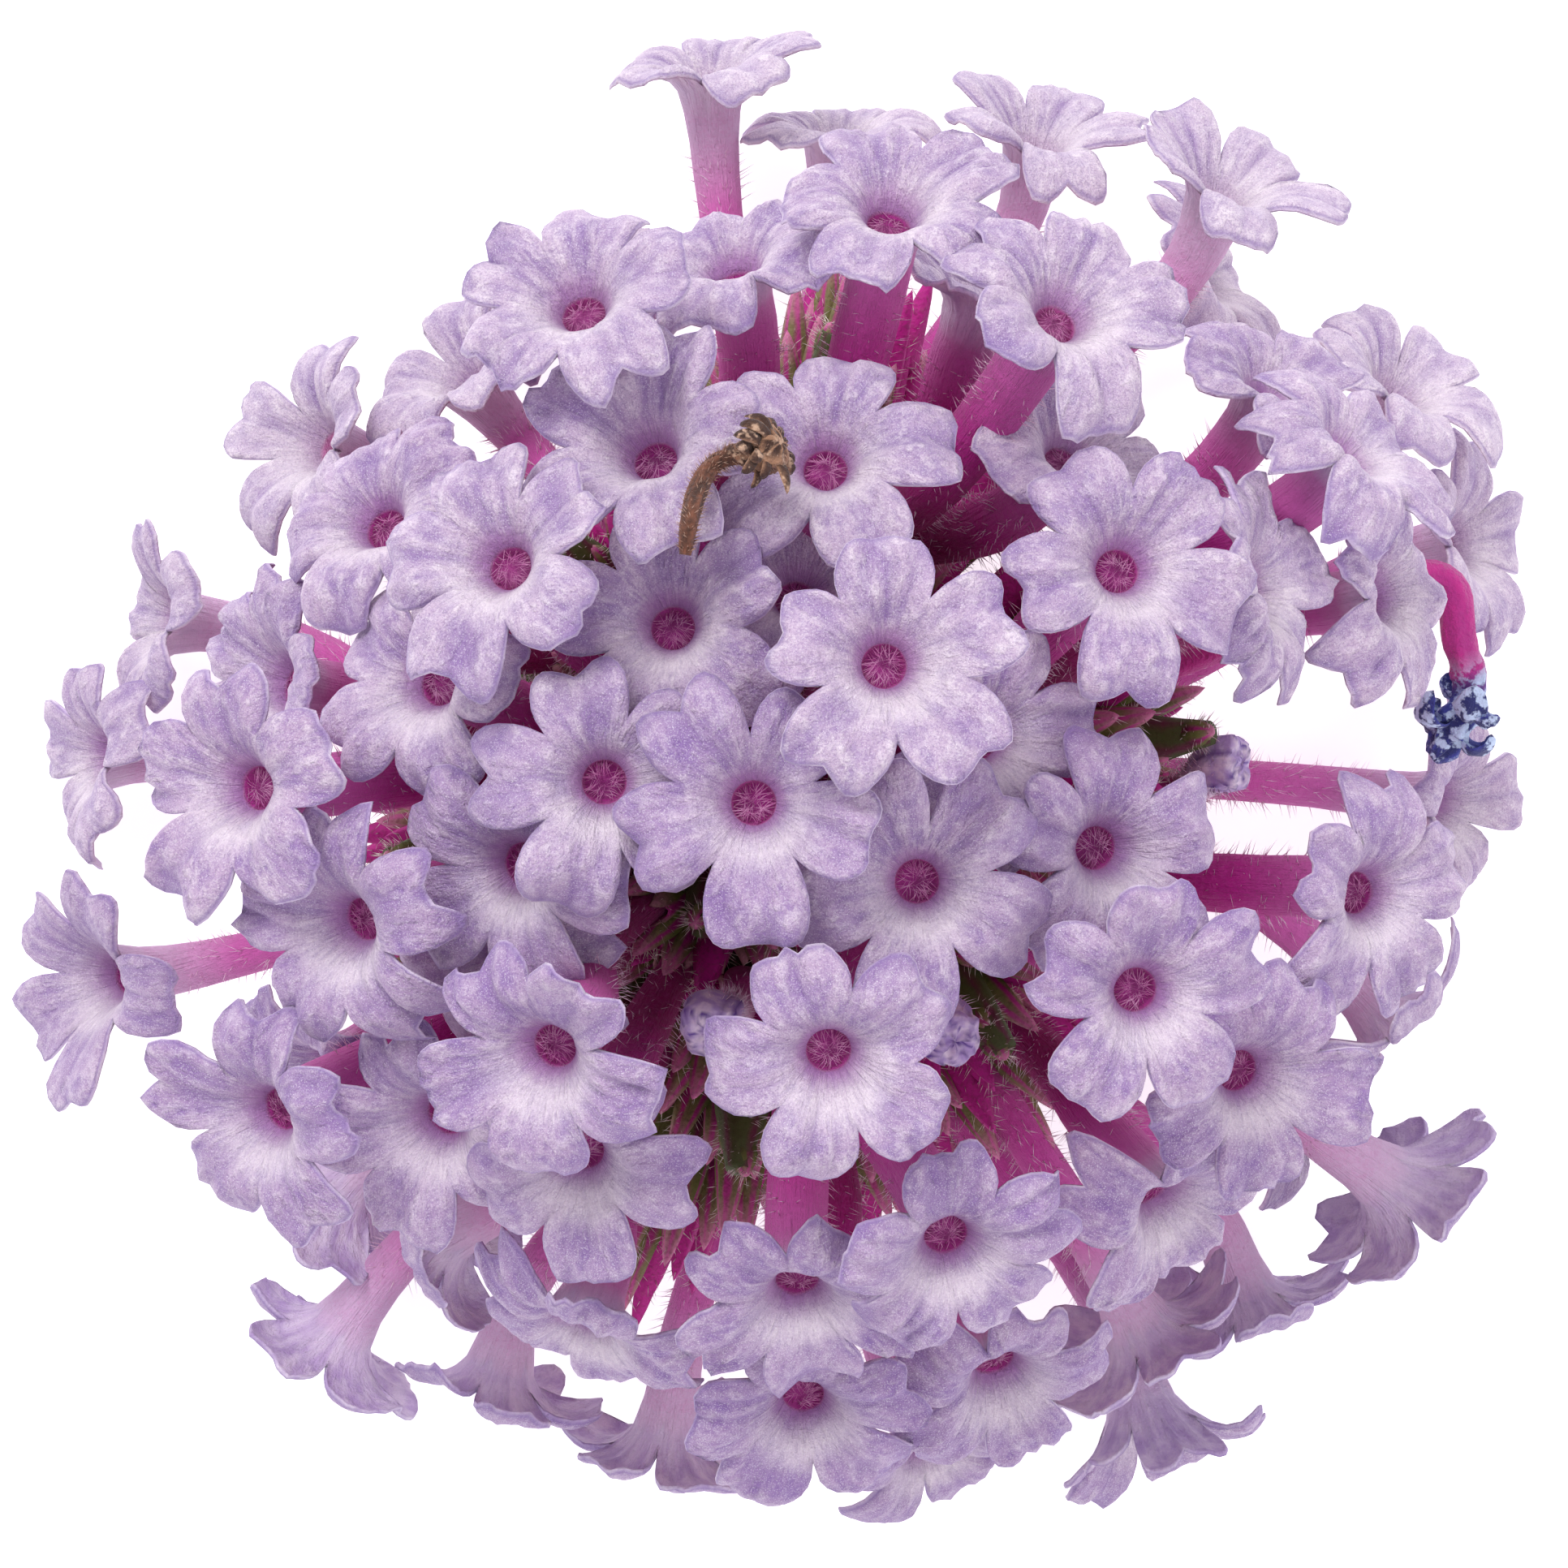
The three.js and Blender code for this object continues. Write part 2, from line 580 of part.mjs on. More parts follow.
/** The space that a floret's tube takes, with the gap round it. */
function sleeveBody(floret) {
  const line = tubeLine(floret);
  const rings = TUBE_STATIONS.map((_, k) => {
    const station = lerp(SLEEVE_START, 1, k / (TUBE_STATIONS.length - 1));
    const radius = TUBE_RADII[Math.min(k, 1)] + GAP;
    return ring(line.getPoint(station), line.getTangent(station), floret.petal, radius, 4);
  });
  return bodyOf(loft(rings));
}

/** A rachis with its calyces and its cone of buds, grown in one piece. */
function spikeBody(spike, index) {
  const span = spike.length - RACHIS_START;
  const side = squareTo(spike.axis, new THREE.Vector3(0, 0, 1));
  const rings = RACHIS_STATIONS.map((station, k) => {
    const centre = FOCUS.clone().addScaledVector(spike.axis, RACHIS_START + station * span);
    return ring(centre, spike.axis, side, RACHIS_RADII[k], 6);
  });
  const calyces = seated.filter((floret) => floret.spike === spike).map(calyxBody);
  const grown = wasm.Manifold.union([bodyOf(loft(rings)), ...calyces, ...budBodies(spike, index)]);
  const inTheWay = corollas.filter((floret) => floret.body.intersect(grown).volume() > 0);
  return inTheWay.reduce((body, floret) => body.subtract(sleeveBody(floret)), grown);
}

// ---------- the stem ----------

/** The square stem's cut stub, with a short branch towards each spike. */
function stemBody() {
  const half = STEM_WIDTH / 2;
  const groove = half * STEM_GROOVE;
  const outline = new THREE.Shape([
    new THREE.Vector2(half, half),
    new THREE.Vector2(0, groove),
    new THREE.Vector2(-half, half),
    new THREE.Vector2(-groove, 0),
    new THREE.Vector2(-half, -half),
    new THREE.Vector2(0, -groove),
    new THREE.Vector2(half, -half),
    new THREE.Vector2(groove, 0),
  ]);
  const foot = FOCUS.clone().add(STEM_FOOT);
  const top = FOCUS.clone().addScaledVector(STEM_FOOT, -STEM_TOP / STEM_FOOT.length());
  const extrudePath = new THREE.LineCurve3(foot, top);
  const stub = bodyOf(new THREE.ExtrudeGeometry(outline, { steps: 1, extrudePath }));
  const branches = spikes.map(({ axis }) => {
    const side = squareTo(axis, new THREE.Vector3(0, 0, 1));
    const ends = [0, RACHIS_START - GAP].map((distance) => FOCUS.clone().addScaledVector(axis, distance));
    return bodyOf(loft(ends.map((centre) => ring(centre, axis, side, BRANCH_RADIUS, 4))));
  });
  return wasm.Manifold.union([stub, ...branches]);
}

// ---------- the whole head ----------

/** Groups of corollas whose petals or tubes run into each other, each joined into one body. */
function floretNodes() {
  const grown = [...florets, ...closed];
  const bodies = grown.map((floret) => floret.body);
  const boxes = bodies.map((body) => {
    const { min, max } = body.boundingBox();
    return new THREE.Box3(new THREE.Vector3(...min), new THREE.Vector3(...max));
  });
  const leader = grown.map((_, k) => k);
  const find = (k) => (leader[k] === k ? k : find(leader[k]));
  for (let i = 0; i < grown.length; i += 1) {
    for (let j = i + 1; j < grown.length; j += 1) {
      const crosses = boxes[i].intersectsBox(boxes[j]) && bodies[i].intersect(bodies[j]).volume() > 0;
      if (crosses) {
        leader[Math.max(find(i), find(j))] = Math.min(find(i), find(j));
      }
    }
  }
  const nodes = new Map();
  grown.forEach((_, k) => {
    const head = find(k);
    nodes.set(head, [...(nodes.get(head) ?? []), k]);
  });
  return [...nodes.values()].map((members) => {
    const numbers = members.map((k) => String(grown[k].number).padStart(2, '0')).join('_');
    const name = `${members.length > 1 ? 'florets' : 'floret'}_${numbers}`;
    return { name, body: wasm.Manifold.union(members.map((k) => bodies[k])) };
  });
}

/** Flattens the edges that press on the surface the head rests on. */
function pressedFlat(body) {
  return body.trimByPlane([0, 0, 1], 0);
}

/** A named mesh in its own material. */
function part(name, body, finish) {
  const material = new THREE.MeshStandardMaterial({ ...finish, flatShading: true });
  const mesh = new THREE.Mesh(geometryOf(body), material);
  mesh.name = name;
  return mesh;
}

function buildHead() {
  placeMouths();
  settleMouths();
  rootCalyces();
  florets.forEach(liftOntoSurface);
  for (const corolla of corollas) {
    corolla.tubePoints = tubeLine(corolla).getPoints(14);
  }
  for (const floret of florets) {
    floret.body = floretBody(floret);
  }
  for (const bud of closed) {
    bud.body = closedBody(bud);
  }
  for (const corolla of withered) {
    corolla.body = witheredBody(corolla);
  }
  const head = new THREE.Group();
  head.name = 'verbena_head';
  head.add(part('stem', stemBody(), STEM_GREEN));
  spikes.forEach((spike, index) => head.add(part(spike.name, spikeBody(spike, index), CALYX_GREEN)));
  floretNodes().forEach(({ name, body }) => head.add(part(name, pressedFlat(body), LILAC)));
  withered.forEach(({ name, color, body }) => head.add(part(name, body, { ...DRY, color })));
  return head;
}

export default buildHead();
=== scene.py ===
"""A verbena flower head, as picked, resting dome-up on its lowest petals.

Seven flower spikes leave the top of a short square stem. Each is a rachis packed with hairy calyces and
tipped with buds. A long, curved, magenta tube leaves each open calyx and flares into a limb of five lilac
petals round a throat full of pink hairs. Sizes are millimetres until a mesh is finished.
"""

from __future__ import annotations

import logging
import math
from dataclasses import dataclass, field
from enum import Enum, IntEnum
from functools import partial
from typing import Any, Callable, Iterable, Sequence

import bmesh
import bpy
from mathutils import Matrix, Vector, noise

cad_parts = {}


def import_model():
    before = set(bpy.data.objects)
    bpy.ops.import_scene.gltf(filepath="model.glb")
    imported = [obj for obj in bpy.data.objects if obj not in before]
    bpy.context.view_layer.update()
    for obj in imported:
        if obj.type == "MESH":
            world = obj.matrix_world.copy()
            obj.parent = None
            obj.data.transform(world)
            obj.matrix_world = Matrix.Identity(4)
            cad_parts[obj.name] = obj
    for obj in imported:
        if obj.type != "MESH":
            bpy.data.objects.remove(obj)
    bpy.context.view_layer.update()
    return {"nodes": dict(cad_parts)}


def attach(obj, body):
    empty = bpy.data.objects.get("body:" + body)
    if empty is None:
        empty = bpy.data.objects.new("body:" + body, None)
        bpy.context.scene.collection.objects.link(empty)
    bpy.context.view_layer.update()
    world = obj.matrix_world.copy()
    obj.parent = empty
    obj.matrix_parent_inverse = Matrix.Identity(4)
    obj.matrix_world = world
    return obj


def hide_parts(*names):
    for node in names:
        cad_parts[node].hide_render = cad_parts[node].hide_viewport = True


log = logging.getLogger("verbena")

MM = 0.001
BODY = "root"
FOCUS = Vector((-0.24, 0.28, 7.6))
UP = Vector((0, 0, 1))

PETALS = 5
LIMB_RADIUS = 3.5
SECTOR = 36.0
HEAD_RADIUS = 22.0
GOLDEN_ANGLE = 137.508

Triple = tuple[float, float, float]
Colour = Triple

# Spikes: name, bearing of the axis from +X and lean from +Z in degrees, length from the focus.
SPIKES = [
    ("centre", 245, 19, 14.6),
    ("top", 82, 60, 15.8),
    ("right", 6, 58, 15.8),
    ("lower_right", 311, 47, 14.6),
    ("bottom", 265, 54, 14.6),
    ("left", 192, 54, 14.6),
    ("upper_left", 130, 40, 14.6),
]

# Open florets: number, bearing and lean of the throat from the focus, its distance from there, the bearing
# of one petal, then how far the limb nods and swings from facing straight out, and how far it is cupped.
FLORETS: list[tuple[float, ...]] = [
    (1, 95, 96, 21.9, 20, -34, -2),
    (2, 84, 106, 21.0, 20, -38),
    (3, 78, 43, 23.0, 39, 2, 0, -4),
    (4, 67, 100, 21.8, 70, -42, 12, 6),
    (5, 52, 88, 22.3, 100, -28, 16, 4),
    (6, 50, 100, 21.2, 70, -30, -30),
    (7, 94, 44, 20.2, 65, 12, 12, -4),
    (8, 112, 35, 23.7, 10, -2),
    (9, 114, 103, 16.8, 40, -46),
    (10, 127, 92, 15.3, 26, -38, 4, 8),
    (11, 143, 92, 17.2, 95, -44, 20, 12),
    (12, 58, 38, 23.8, 4, -2, -4),
    (13, 66, 53, 18.2, 20, 6),
    (14, 47, 41, 18.5, 55, 2, 0, -8),
    (15, 37, 66, 19.9, 50, -4, 20),
    (16, 31, 30, 22.0, 50, -14),
    (17, 110, 25, 21.7, -2, 8, 12),
    (18, 80, 24, 21.0, 5, -2, 12),
    (19, 123, 14, 20.2, 100),
    (20, 45, 10, 24.2, 93, 0, 0, 4),
    (21, 141, 23, 23.0, 32, 4, 4),
    (22, 147, 41, 19.7, 38, -4, -8, -8),
    (23, 164, 28, 20.2, -3, 4, 4, -4),
    (24, 181, 12, 21.5, 105, -12, 0, -8),
    (25, 234, 2, 22.4, 56),
    (26, 325, 13, 21.3, 46, -8, -4),
    (27, 11, 18, 18.6, 76),
    (28, 348, 27, 20.1, 14, -4),
    (29, 330, 29, 23.4, 16, -12, 4),
    (30, 282, 18, 23.8, 41),
    (31, 231, 23, 23.5, 50, 6, -12, 12),
    (32, 243, 32, 21.5, 63, -6),
    (33, 291, 35, 23.2, 26, -4),
    (34, 273, 41, 21.3, -11, 0, 0, -4),
    (35, 199, 33, 21.7, 22, 8, 4, 4),
    (36, 181, 37, 23.3, 18, 0, 0, -4),
    (37, 169, 49, 18.4, 60, 4),
    (38, 165, 103, 20.0, 95, -38, 10, 8),
    (39, 178, 103, 21.7, 100, -42, 4),
    (40, 197, 100, 21.9, 55, -52, -10, 18),
    (41, 214, 46, 22.9, 16, -6, -10),
    (42, 199, 21, 19.9, 66, 4, 4),
    (43, 215, 29, 17.3, 29, 8, 0, -4),
    (44, 22, 43, 20.7, 78, 24, -8, -4),
    (45, 29, 55, 22.6, 45, 14, 18, -8),
    (46, 17, 62, 20.6, 75, -6, -6),
    (47, 31, 92, 22.6, 100, -36, 26, 6),
    (48, 19, 97, 22.8, 75, -44, -8),
    (49, 349, 53, 21.3, 10, -18),
    (50, 358, 104, 21.9, 80, -50, -8),
    (51, 328, 46, 21.5, 62, -16, 0, -8),
    (52, 339, 91, 20.4, 20, -2, -26, -8),
    (53, 313, 53, 20.1, -2, 4),
    (54, 328, 103, 19.9, 36, -34, -8, 8),
    (55, 327, 95, 22.8, 39, 14, 0, 12),
    (56, 313, 101, 22.4, -5, 6, -24),
    (57, 304, 90, 20.2, 19, 24, -6, -8),
    (58, 301, 100, 22.9, 270, -24, -14, 42),
    (59, 291, 62, 20.6, 0, -14),
    (60, 273, 58, 21.0, 30, -28),
    (61, 251, 52, 20.3, 10, 8, 0, -8),
    (62, 235, 84, 16.7, 290, 34, -32),
    (63, 223, 102, 18.2, 342, 14, 0, 12),
    (64, 232, 101, 22.4, 22, 8, 1, 4),
    (65, 245, 97, 20.3, 0, 0, 10, 4),
    (66, 261, 99, 20.8, 20, 6, 2),
    (67, 283, 99, 21.8, 15, -46, 14),
    (69, 226, 40, 20.3, 36, -8, -4),
    (70, 82, 17, 17.2, 36, 12, 0, -4),
    (71, 214, 56, 18.0, 47),
]

# Corollas that are still furled: number, bearing and lean of the tip, its distance from the focus.
FURLED = [(72, 305, 32, 17.4), (73, 256, 25, 17.6), (74, 2, 62, 16.1)]

# Withered corollas: the points that each passes, as bearing, lean and distance from the focus.
BROWN_PATH = [(111, 15, 24.4), (107, 17, 24.7), (102, 20, 24.2), (97, 21, 24.1), (92, 21, 24.3), (88, 21, 24.7)]
BLUE_PATH = [(17, 76, 16.7), (17, 85, 21.4), (11, 85, 21.7), (8, 86, 21.8), (5, 87, 21.4), (2, 88, 20.6)]


# ---------- plain helpers ----------


def draw(number: float, k: float) -> float:
    """A repeatable draw between 0 and 1 for the kth property of a number."""
    wave = math.sin(number * 12.9898 + k * 78.233) * 437.5453
    return wave - math.floor(wave)


def lerp(a: float, b: float, share: float) -> float:
    """The value a share of the way from a to b."""
    return a + (b - a) * share


def clamp(value: float, low: float = 0.0, high: float = 1.0) -> float:
    """The value, kept between two bounds."""
    return max(low, min(high, value))


def ease(low: float, high: float, value: float) -> float:
    """0 below low, 1 above high and a smooth rise between them."""
    share = clamp((value - low) / (high - low))
    return share * share * (3 - 2 * share)


def direction(bearing: float, lean: float) -> Vector:
    """The unit vector at a bearing from +X and a lean from +Z, both in degrees."""
    across = math.sin(math.radians(lean))
    turn = math.radians(bearing)
    return Vector((across * math.cos(turn), across * math.sin(turn), math.cos(math.radians(lean))))


def square_to(axis: Vector, vector: Vector) -> Vector:
    """The part of a vector square to an axis, made one unit long."""
    return (vector - axis * vector.dot(axis)).normalized()


def interpolate(stops: Sequence[tuple[float, float]], at: float) -> float:
    """A value through rising stops, straight between them.

    Args:
        stops: Pairs of place and value, in rising order of place.
        at: The place to read.

    Returns:
        The value there.
    """
    for (low, before), (high, after) in zip(stops, stops[1:]):
        if at <= high:
            return lerp(before, after, clamp((at - low) / (high - low)))
    return stops[-1][1]


def bell(value: float, width: float) -> float:
    """1 at nought, falling away smoothly on both sides."""
    return math.exp(-((value / width) ** 2))


def rough(x: float, y: float, z: float) -> float:
    """Soft noise at a place, between about -1 and 1."""
    return noise.noise(Vector((x, y, z)))


def around(axis: Vector, reference: Vector, turn: float) -> Vector:
    """The direction square to an axis at a turn in radians from a reference."""
    first = square_to(axis, reference)
    return first * math.cos(turn) + axis.cross(first) * math.sin(turn)


class Trait(IntEnum):
    """Where the draws of each property of a corolla or a bud start."""

    PITCH = 0
    TWIST = 5
    LENGTH = 10
    REFLEX = 15
    PALE = 31
    BLUE = 32
    SEED = 33
    LOBE = 40
    FULLNESS = 40
    NOTCH = 45
    ROLL = 60
    RIBS = 71
    JOIN = 80
    BRUSH_TURN = 100
    BRUSH_DEPTH = 200
    BRUSH_ASIDE = 300
    BRUSH_LENGTH = 400
    HAIR_STATION = 500
    HAIR_TURN = 800
    HAIR_ASIDE = 1100
    HAIR_UPRIGHT = 1400
    HAIR_LENGTH = 1700
    CALYX_TURN = 2000
    CALYX_STATION = 2300
    CALYX_UPRIGHT = 2600
    CALYX_LENGTH = 2900
    BUD_RIBS = 1
    BUD_YOUNG = 2
    BUD_TURN = 10
    BUD_STATION = 110
    BUD_UPRIGHT = 210
    BUD_LENGTH = 310


class Series(IntEnum):
    """The numbers that draws take for what has no number of its own in a table."""

    CROWD = 40
    SKIRT_TURN = 60
    SKIRT_LEAN = 70
    SKIRT_REACH = 80
    BUDS = 300
    BUDS_PER_SPIKE = 200
    STEM_TURN = 900
    STEM_STATION = 901
    STEM_SLANT = 902
    STEM_LENGTH = 903


# ---------- shader trees ----------


class Value:
    """A number in a shader tree, on which plain arithmetic adds Math nodes."""

    def __init__(self, tree: "ShaderTree", socket: bpy.types.NodeSocket) -> None:
        """Wraps one output socket of a tree."""
        self.tree = tree
        self.socket = socket

    def math(self, operation: str, *others: "Value | float", first: "Value | float | None" = None) -> "Value":
        """Adds a Math node.

        Args:
            operation: The Math node's operation.
            others: What its next sockets take.
            first: What its first socket takes, where that isn't this value.

        Returns:
            The result.
        """
        values = dict(enumerate([self if first is None else first, *others]))
        return self.tree.value("ShaderNodeMath", {"operation": operation}, values)

    def __add__(self, other: "Value | float") -> "Value":
        """Sum."""
        return self.math("ADD", other)

    __radd__ = __add__

    def __sub__(self, other: "Value | float") -> "Value":
        """Difference."""
        return self.math("SUBTRACT", other)

    def __rsub__(self, other: float) -> "Value":
        """Difference from a number."""
        return self.math("SUBTRACT", self, first=other)

    def __mul__(self, other: "Value | float") -> "Value":
        """Product."""
        return self.math("MULTIPLY", other)

    __rmul__ = __mul__

    def rise(self, low: float, high: float) -> "Value":
        """0 below low, 1 above high, smooth between them."""
        limits = {"Value": self, "From Min": low, "From Max": high}
        return self.tree.value("ShaderNodeMapRange", {"interpolation_type": "SMOOTHSTEP"}, limits)


class ShaderTree:
    """A material's node tree, with a Principled surface."""

    def __init__(self, name: str) -> None:
        """Starts an empty material of that name."""
        self.material = bpy.data.materials.new(name)
        self.material.use_nodes = True
        self.nodes = self.material.node_tree.nodes
        self.links = self.material.node_tree.links
        self.nodes.clear()

    def add(self, kind: str, settings: dict[str, Any], values: dict[int | str, Any]) -> bpy.types.Node:
        """Adds any node.

        Args:
            kind: The node's type.
            settings: Its properties, set first. "stops" holds a ramp's places and colours.
            values: What its sockets take, by name or index: a link or a plain value.

        Returns:
            The node.
        """
        node = self.nodes.new(kind)
        for key, setting in settings.items():
            if key == "stops":
                self.set_stops(node, setting)
            else:
                setattr(node, key, setting)
        for key, given in values.items():
            socket = given.socket if isinstance(given, Value) else given
            if isinstance(socket, bpy.types.NodeSocket):
                self.links.new(socket, node.inputs[key])
            else:
                node.inputs[key].default_value = socket
        return node

    @staticmethod
    def set_stops(node: bpy.types.Node, stops: Sequence[tuple[float, Colour]]) -> None:
        """Sets a colour ramp's places and colours."""
        elements = node.color_ramp.elements
        while len(elements) < len(stops):
            elements.new(0.5)
        for element, (place, colour) in zip(elements, stops):
            element.position = place
            element.color = (*colour, 1)

    def value(self, kind: str, settings: dict[str, Any], values: dict[int | str, Any], out: int = 0) -> Value:
        """Adds a node and gives one of its outputs."""
        return Value(self, self.add(kind, settings, values).outputs[out])

    def attribute(self, name: str) -> tuple[Value, Value, Value]:
        """The three numbers of a piece's own vector attribute."""
        stored = self.add("ShaderNodeAttribute", {"attribute_name": name}, {}).outputs["Vector"]
        parts = self.add("ShaderNodeSeparateXYZ", {}, {0: stored})
        return tuple(Value(self, socket) for socket in parts.outputs)

    def millimetres(self) -> Value:
        """The object's own coordinates in millimetres."""
        place = self.add("ShaderNodeTexCoord", {}, {}).outputs["Object"]
        return self.value("ShaderNodeMapping", {}, {"Vector": place, "Scale": (1 / MM, 1 / MM, 1 / MM)})

    def vector(self, x: Value | float, y: Value | float, z: Value | float) -> Value:
        """A vector of three numbers."""
        return self.value("ShaderNodeCombineXYZ", {}, {0: x, 1: y, 2: z})

    def noise(self, place: Value, scale: float, detail: float = 2.0, rough: float = 0.5) -> Value:
        """Soft noise at a place, between 0 and 1."""
        values = {"Vector": place, "Scale": scale, "Detail": detail, "Roughness": rough}
        return self.value("ShaderNodeTexNoise", {}, values)

    def blend(self, share: Value | float, low: Value | Colour, high: Value | Colour) -> Value:
        """Mixes two colours.

        Args:
            share: How much of the second, which the node keeps between 0 and 1.
            low: The first colour.
            high: The second colour.

        Returns:
            The mixed colour.
        """
        pair = [(*given, 1) if isinstance(given, tuple) else given for given in (low, high)]
        settings = {"data_type": "RGBA", "clamp_factor": True}
        return self.value("ShaderNodeMix", settings, {0: share, 6: pair[0], 7: pair[1]}, out=2)

    def layered(self, base: Value | Colour, *layers: tuple[Value | float, Value | Colour]) -> Value:
        """Lays colours over a base, one after the other.

        Args:
            base: The colour below.
            layers: How much of each colour is laid on, and that colour.

        Returns:
            The colour on top.
        """
        for share, colour in layers:
            base = self.blend(share, base, colour)
        return base

    def ramp(self, share: Value, stops: Sequence[tuple[float, Colour]]) -> Value:
        """A colour ramp over a number."""
        return self.value("ShaderNodeValToRGB", {"stops": stops}, {0: share})

    def surface(
        self, colour: Value, roughness: Value | float, bump: Value, depth: float, **fixed: Any
    ) -> bpy.types.Material:
        """Closes the tree.

        Args:
            colour: Base colour.
            roughness: Roughness.
            bump: Height of the fine relief, between 0 and 1.
            depth: How deep that relief is, in millimetres.
            fixed: Principled sockets that are the same all over, with underscores for spaces.

        Returns:
            The material.
        """
        relief = self.value("ShaderNodeBump", {}, {"Height": bump, "Distance": depth * MM, "Strength": 1.0})
        values = {"Base Color": colour, "Roughness": roughness, "Normal": relief}
        values.update({key.replace("_", " "): setting for key, setting in fixed.items()})
        principled = self.add("ShaderNodeBsdfPrincipled", {}, values)
        self.add("ShaderNodeOutputMaterial", {}, {"Surface": principled.outputs[0]})
        return self.material


# ---------- finishes ----------


@dataclass(frozen=True)
class CorollaFinish:
    """Lilac petals with violet veins, painted violet shade in their furrows and along their margins, and painted
    glints; a white halo round a magenta throat, and a magenta tube.
    """

    lilac: Colour = (0.52, 0.37, 0.545)
    violet: Colour = (0.25, 0.14, 0.39)
    pale: Colour = (0.87, 0.78, 0.84)
    # Painted shade along each petal's rolled margin.
    edge_shade: Colour = (0.27, 0.18, 0.43)
    speck: Colour = (0.24, 0.14, 0.35)
    frost: Colour = (0.93, 0.88, 0.95)
    halo: Colour = (0.92, 0.83, 0.88)
    blush: Colour = (0.44, 0.17, 0.48)
    throat: Colour = (0.52, 0.045, 0.34)
    throat_pale: Colour = (0.78, 0.36, 0.62)
    tube_deep: Colour = (0.36, 0.005, 0.15)
    tube: Colour = (0.58, 0.014, 0.31)
    tube_pink: Colour = (0.64, 0.13, 0.44)
    flare: Colour = (0.74, 0.58, 0.78)
    under: Colour = (0.55, 0.41, 0.68)
    under_pale: Colour = (0.85, 0.76, 0.88)
    # The colour of the painted glints.
    painted_glint: Colour = (0.97, 0.95, 0.98)

    def material(self) -> bpy.types.Material:
        """Builds the material, which reads the corolla's ray, zone, mask and tint attributes."""
        tree = ShaderTree("petal_and_tube")
        round_x, round_y, along = tree.attribute("ray")
        upper, tube, pit = tree.attribute("zone")
        halo, edge, blush = tree.attribute("mask")
        # The tint's pale and blue carry painted light and shade as well as each floret's own tone: paler high up
        # and at the rim, bluer low down and in the furrows.
        pale, blue, seed = tree.attribute("tint")
        place = tree.millimetres()
        streaks = tree.noise(tree.vector(round_x * 3.6, round_y * 3.6, along * 2.4 + seed * 40), 1.5, 3, 0.6)
        veins = tree.noise(tree.vector(round_x * 9, round_y * 9, along * 6 + seed * 70), 1.6, 3, 0.6)
        cloud = tree.noise(place, 1.0, 4, 0.65)
        grain = tree.noise(place, 15, 2, 0.75)
        dent = tree.noise(place, 2.3, 3, 0.6)
        dust = tree.noise(place, 24, 1, 0.8)
        velvet = tree.noise(place, 9, 2, 0.6)
        cells = tree.value("ShaderNodeTexVoronoi", {}, {"Vector": place, "Scale": 17.0})
        # Painted glints: small white spots laid on the petals' colour, where the roughness also drops.
        painted_sparkle = (1 - cells.rise(0.08, 0.25)) * tree.noise(place, 2.6, 1).rise(0.52, 0.66)
        light_floret = pale.rise(0.38, 0.8)

        mottled = streaks * 0.3 + cloud * 0.55 + veins * 0.25
        lit = (streaks * 0.25 + veins * 0.3 + dent * 0.45).rise(0.46, 0.64) * 0.52
        body = tree.layered(
            tree.blend(mottled.rise(0.37, 0.62), self.violet, self.lilac),
            (lit + pale * 0.48, self.pale),
            (blue * 0.7, self.violet),
            (halo * (0.5 + veins * 0.8), self.halo),
            ((1 - grain.rise(0.34, 0.58)) * (0.42 - halo * 0.35), self.speck),
            (dust.rise(0.52, 0.72) * 0.42, self.frost),
            # Painted shade along the rolled margin.
            (edge.rise(0.45, 1.0) * 0.55, self.edge_shade),
            (painted_sparkle * 0.85, self.painted_glint),
            (blush * (1 - light_floret * 0.6), self.blush),
        )
        under = tree.layered(
            tree.blend((streaks * 0.6 + cloud * 0.5).rise(0.42, 0.68), self.under, self.under_pale),
            (pale * 0.5, self.pale),
            (blue * 0.5, self.violet),
            ((1 - along.rise(0.25, 0.6)) * 0.6, self.flare),
        )
        stops = [(0.0, self.tube_deep), (0.35, self.tube), (0.68, self.tube_pink), (0.96, self.flare)]
        # A paler tube on a floret that leans out is painted light of the bright rim.
        stalk = tree.layered(
            tree.ramp(along + OpenCorolla.TUBE_SHIFT - (1 - pale) * 0.26, stops),
            (pale * 0.25, self.tube_pink),
            (velvet.rise(0.45, 0.7) * 0.2, self.tube_pink),
        )
        throat = tree.blend(light_floret * 0.75, self.throat, self.throat_pale)
        colour = tree.layered(under, (upper, body), (tube, stalk), (pit, throat))
        relief = cloud * 0.4 + dent * 0.3 + veins * 0.32 + streaks * 0.2 + grain * 0.13
        fixed = {"Sheen_Weight": 0.12, "Sheen_Roughness": 0.5, "Specular_IOR_Level": 0.3}
        return tree.surface(colour, 0.62 - painted_sparkle * 0.3, relief, 0.34, **fixed)


@dataclass(frozen=True)
class HairFinish:
    """Fine plant hairs of one colour, a little lighter in places."""

    name: str
    dull: Colour
    bright: Colour

    def material(self) -> bpy.types.Material:
        """Builds the material."""
        tree = ShaderTree(self.name)
        place = tree.millimetres()
        patch = tree.noise(place, 1.6, 2)
        fine = tree.noise(place, 11, 1)
        colour = tree.blend((patch * 0.6 + fine * 0.5).rise(0.35, 0.75), self.dull, self.bright)
        return tree.surface(colour, 0.5, fine, 0.01, Specular_IOR_Level=0.4)


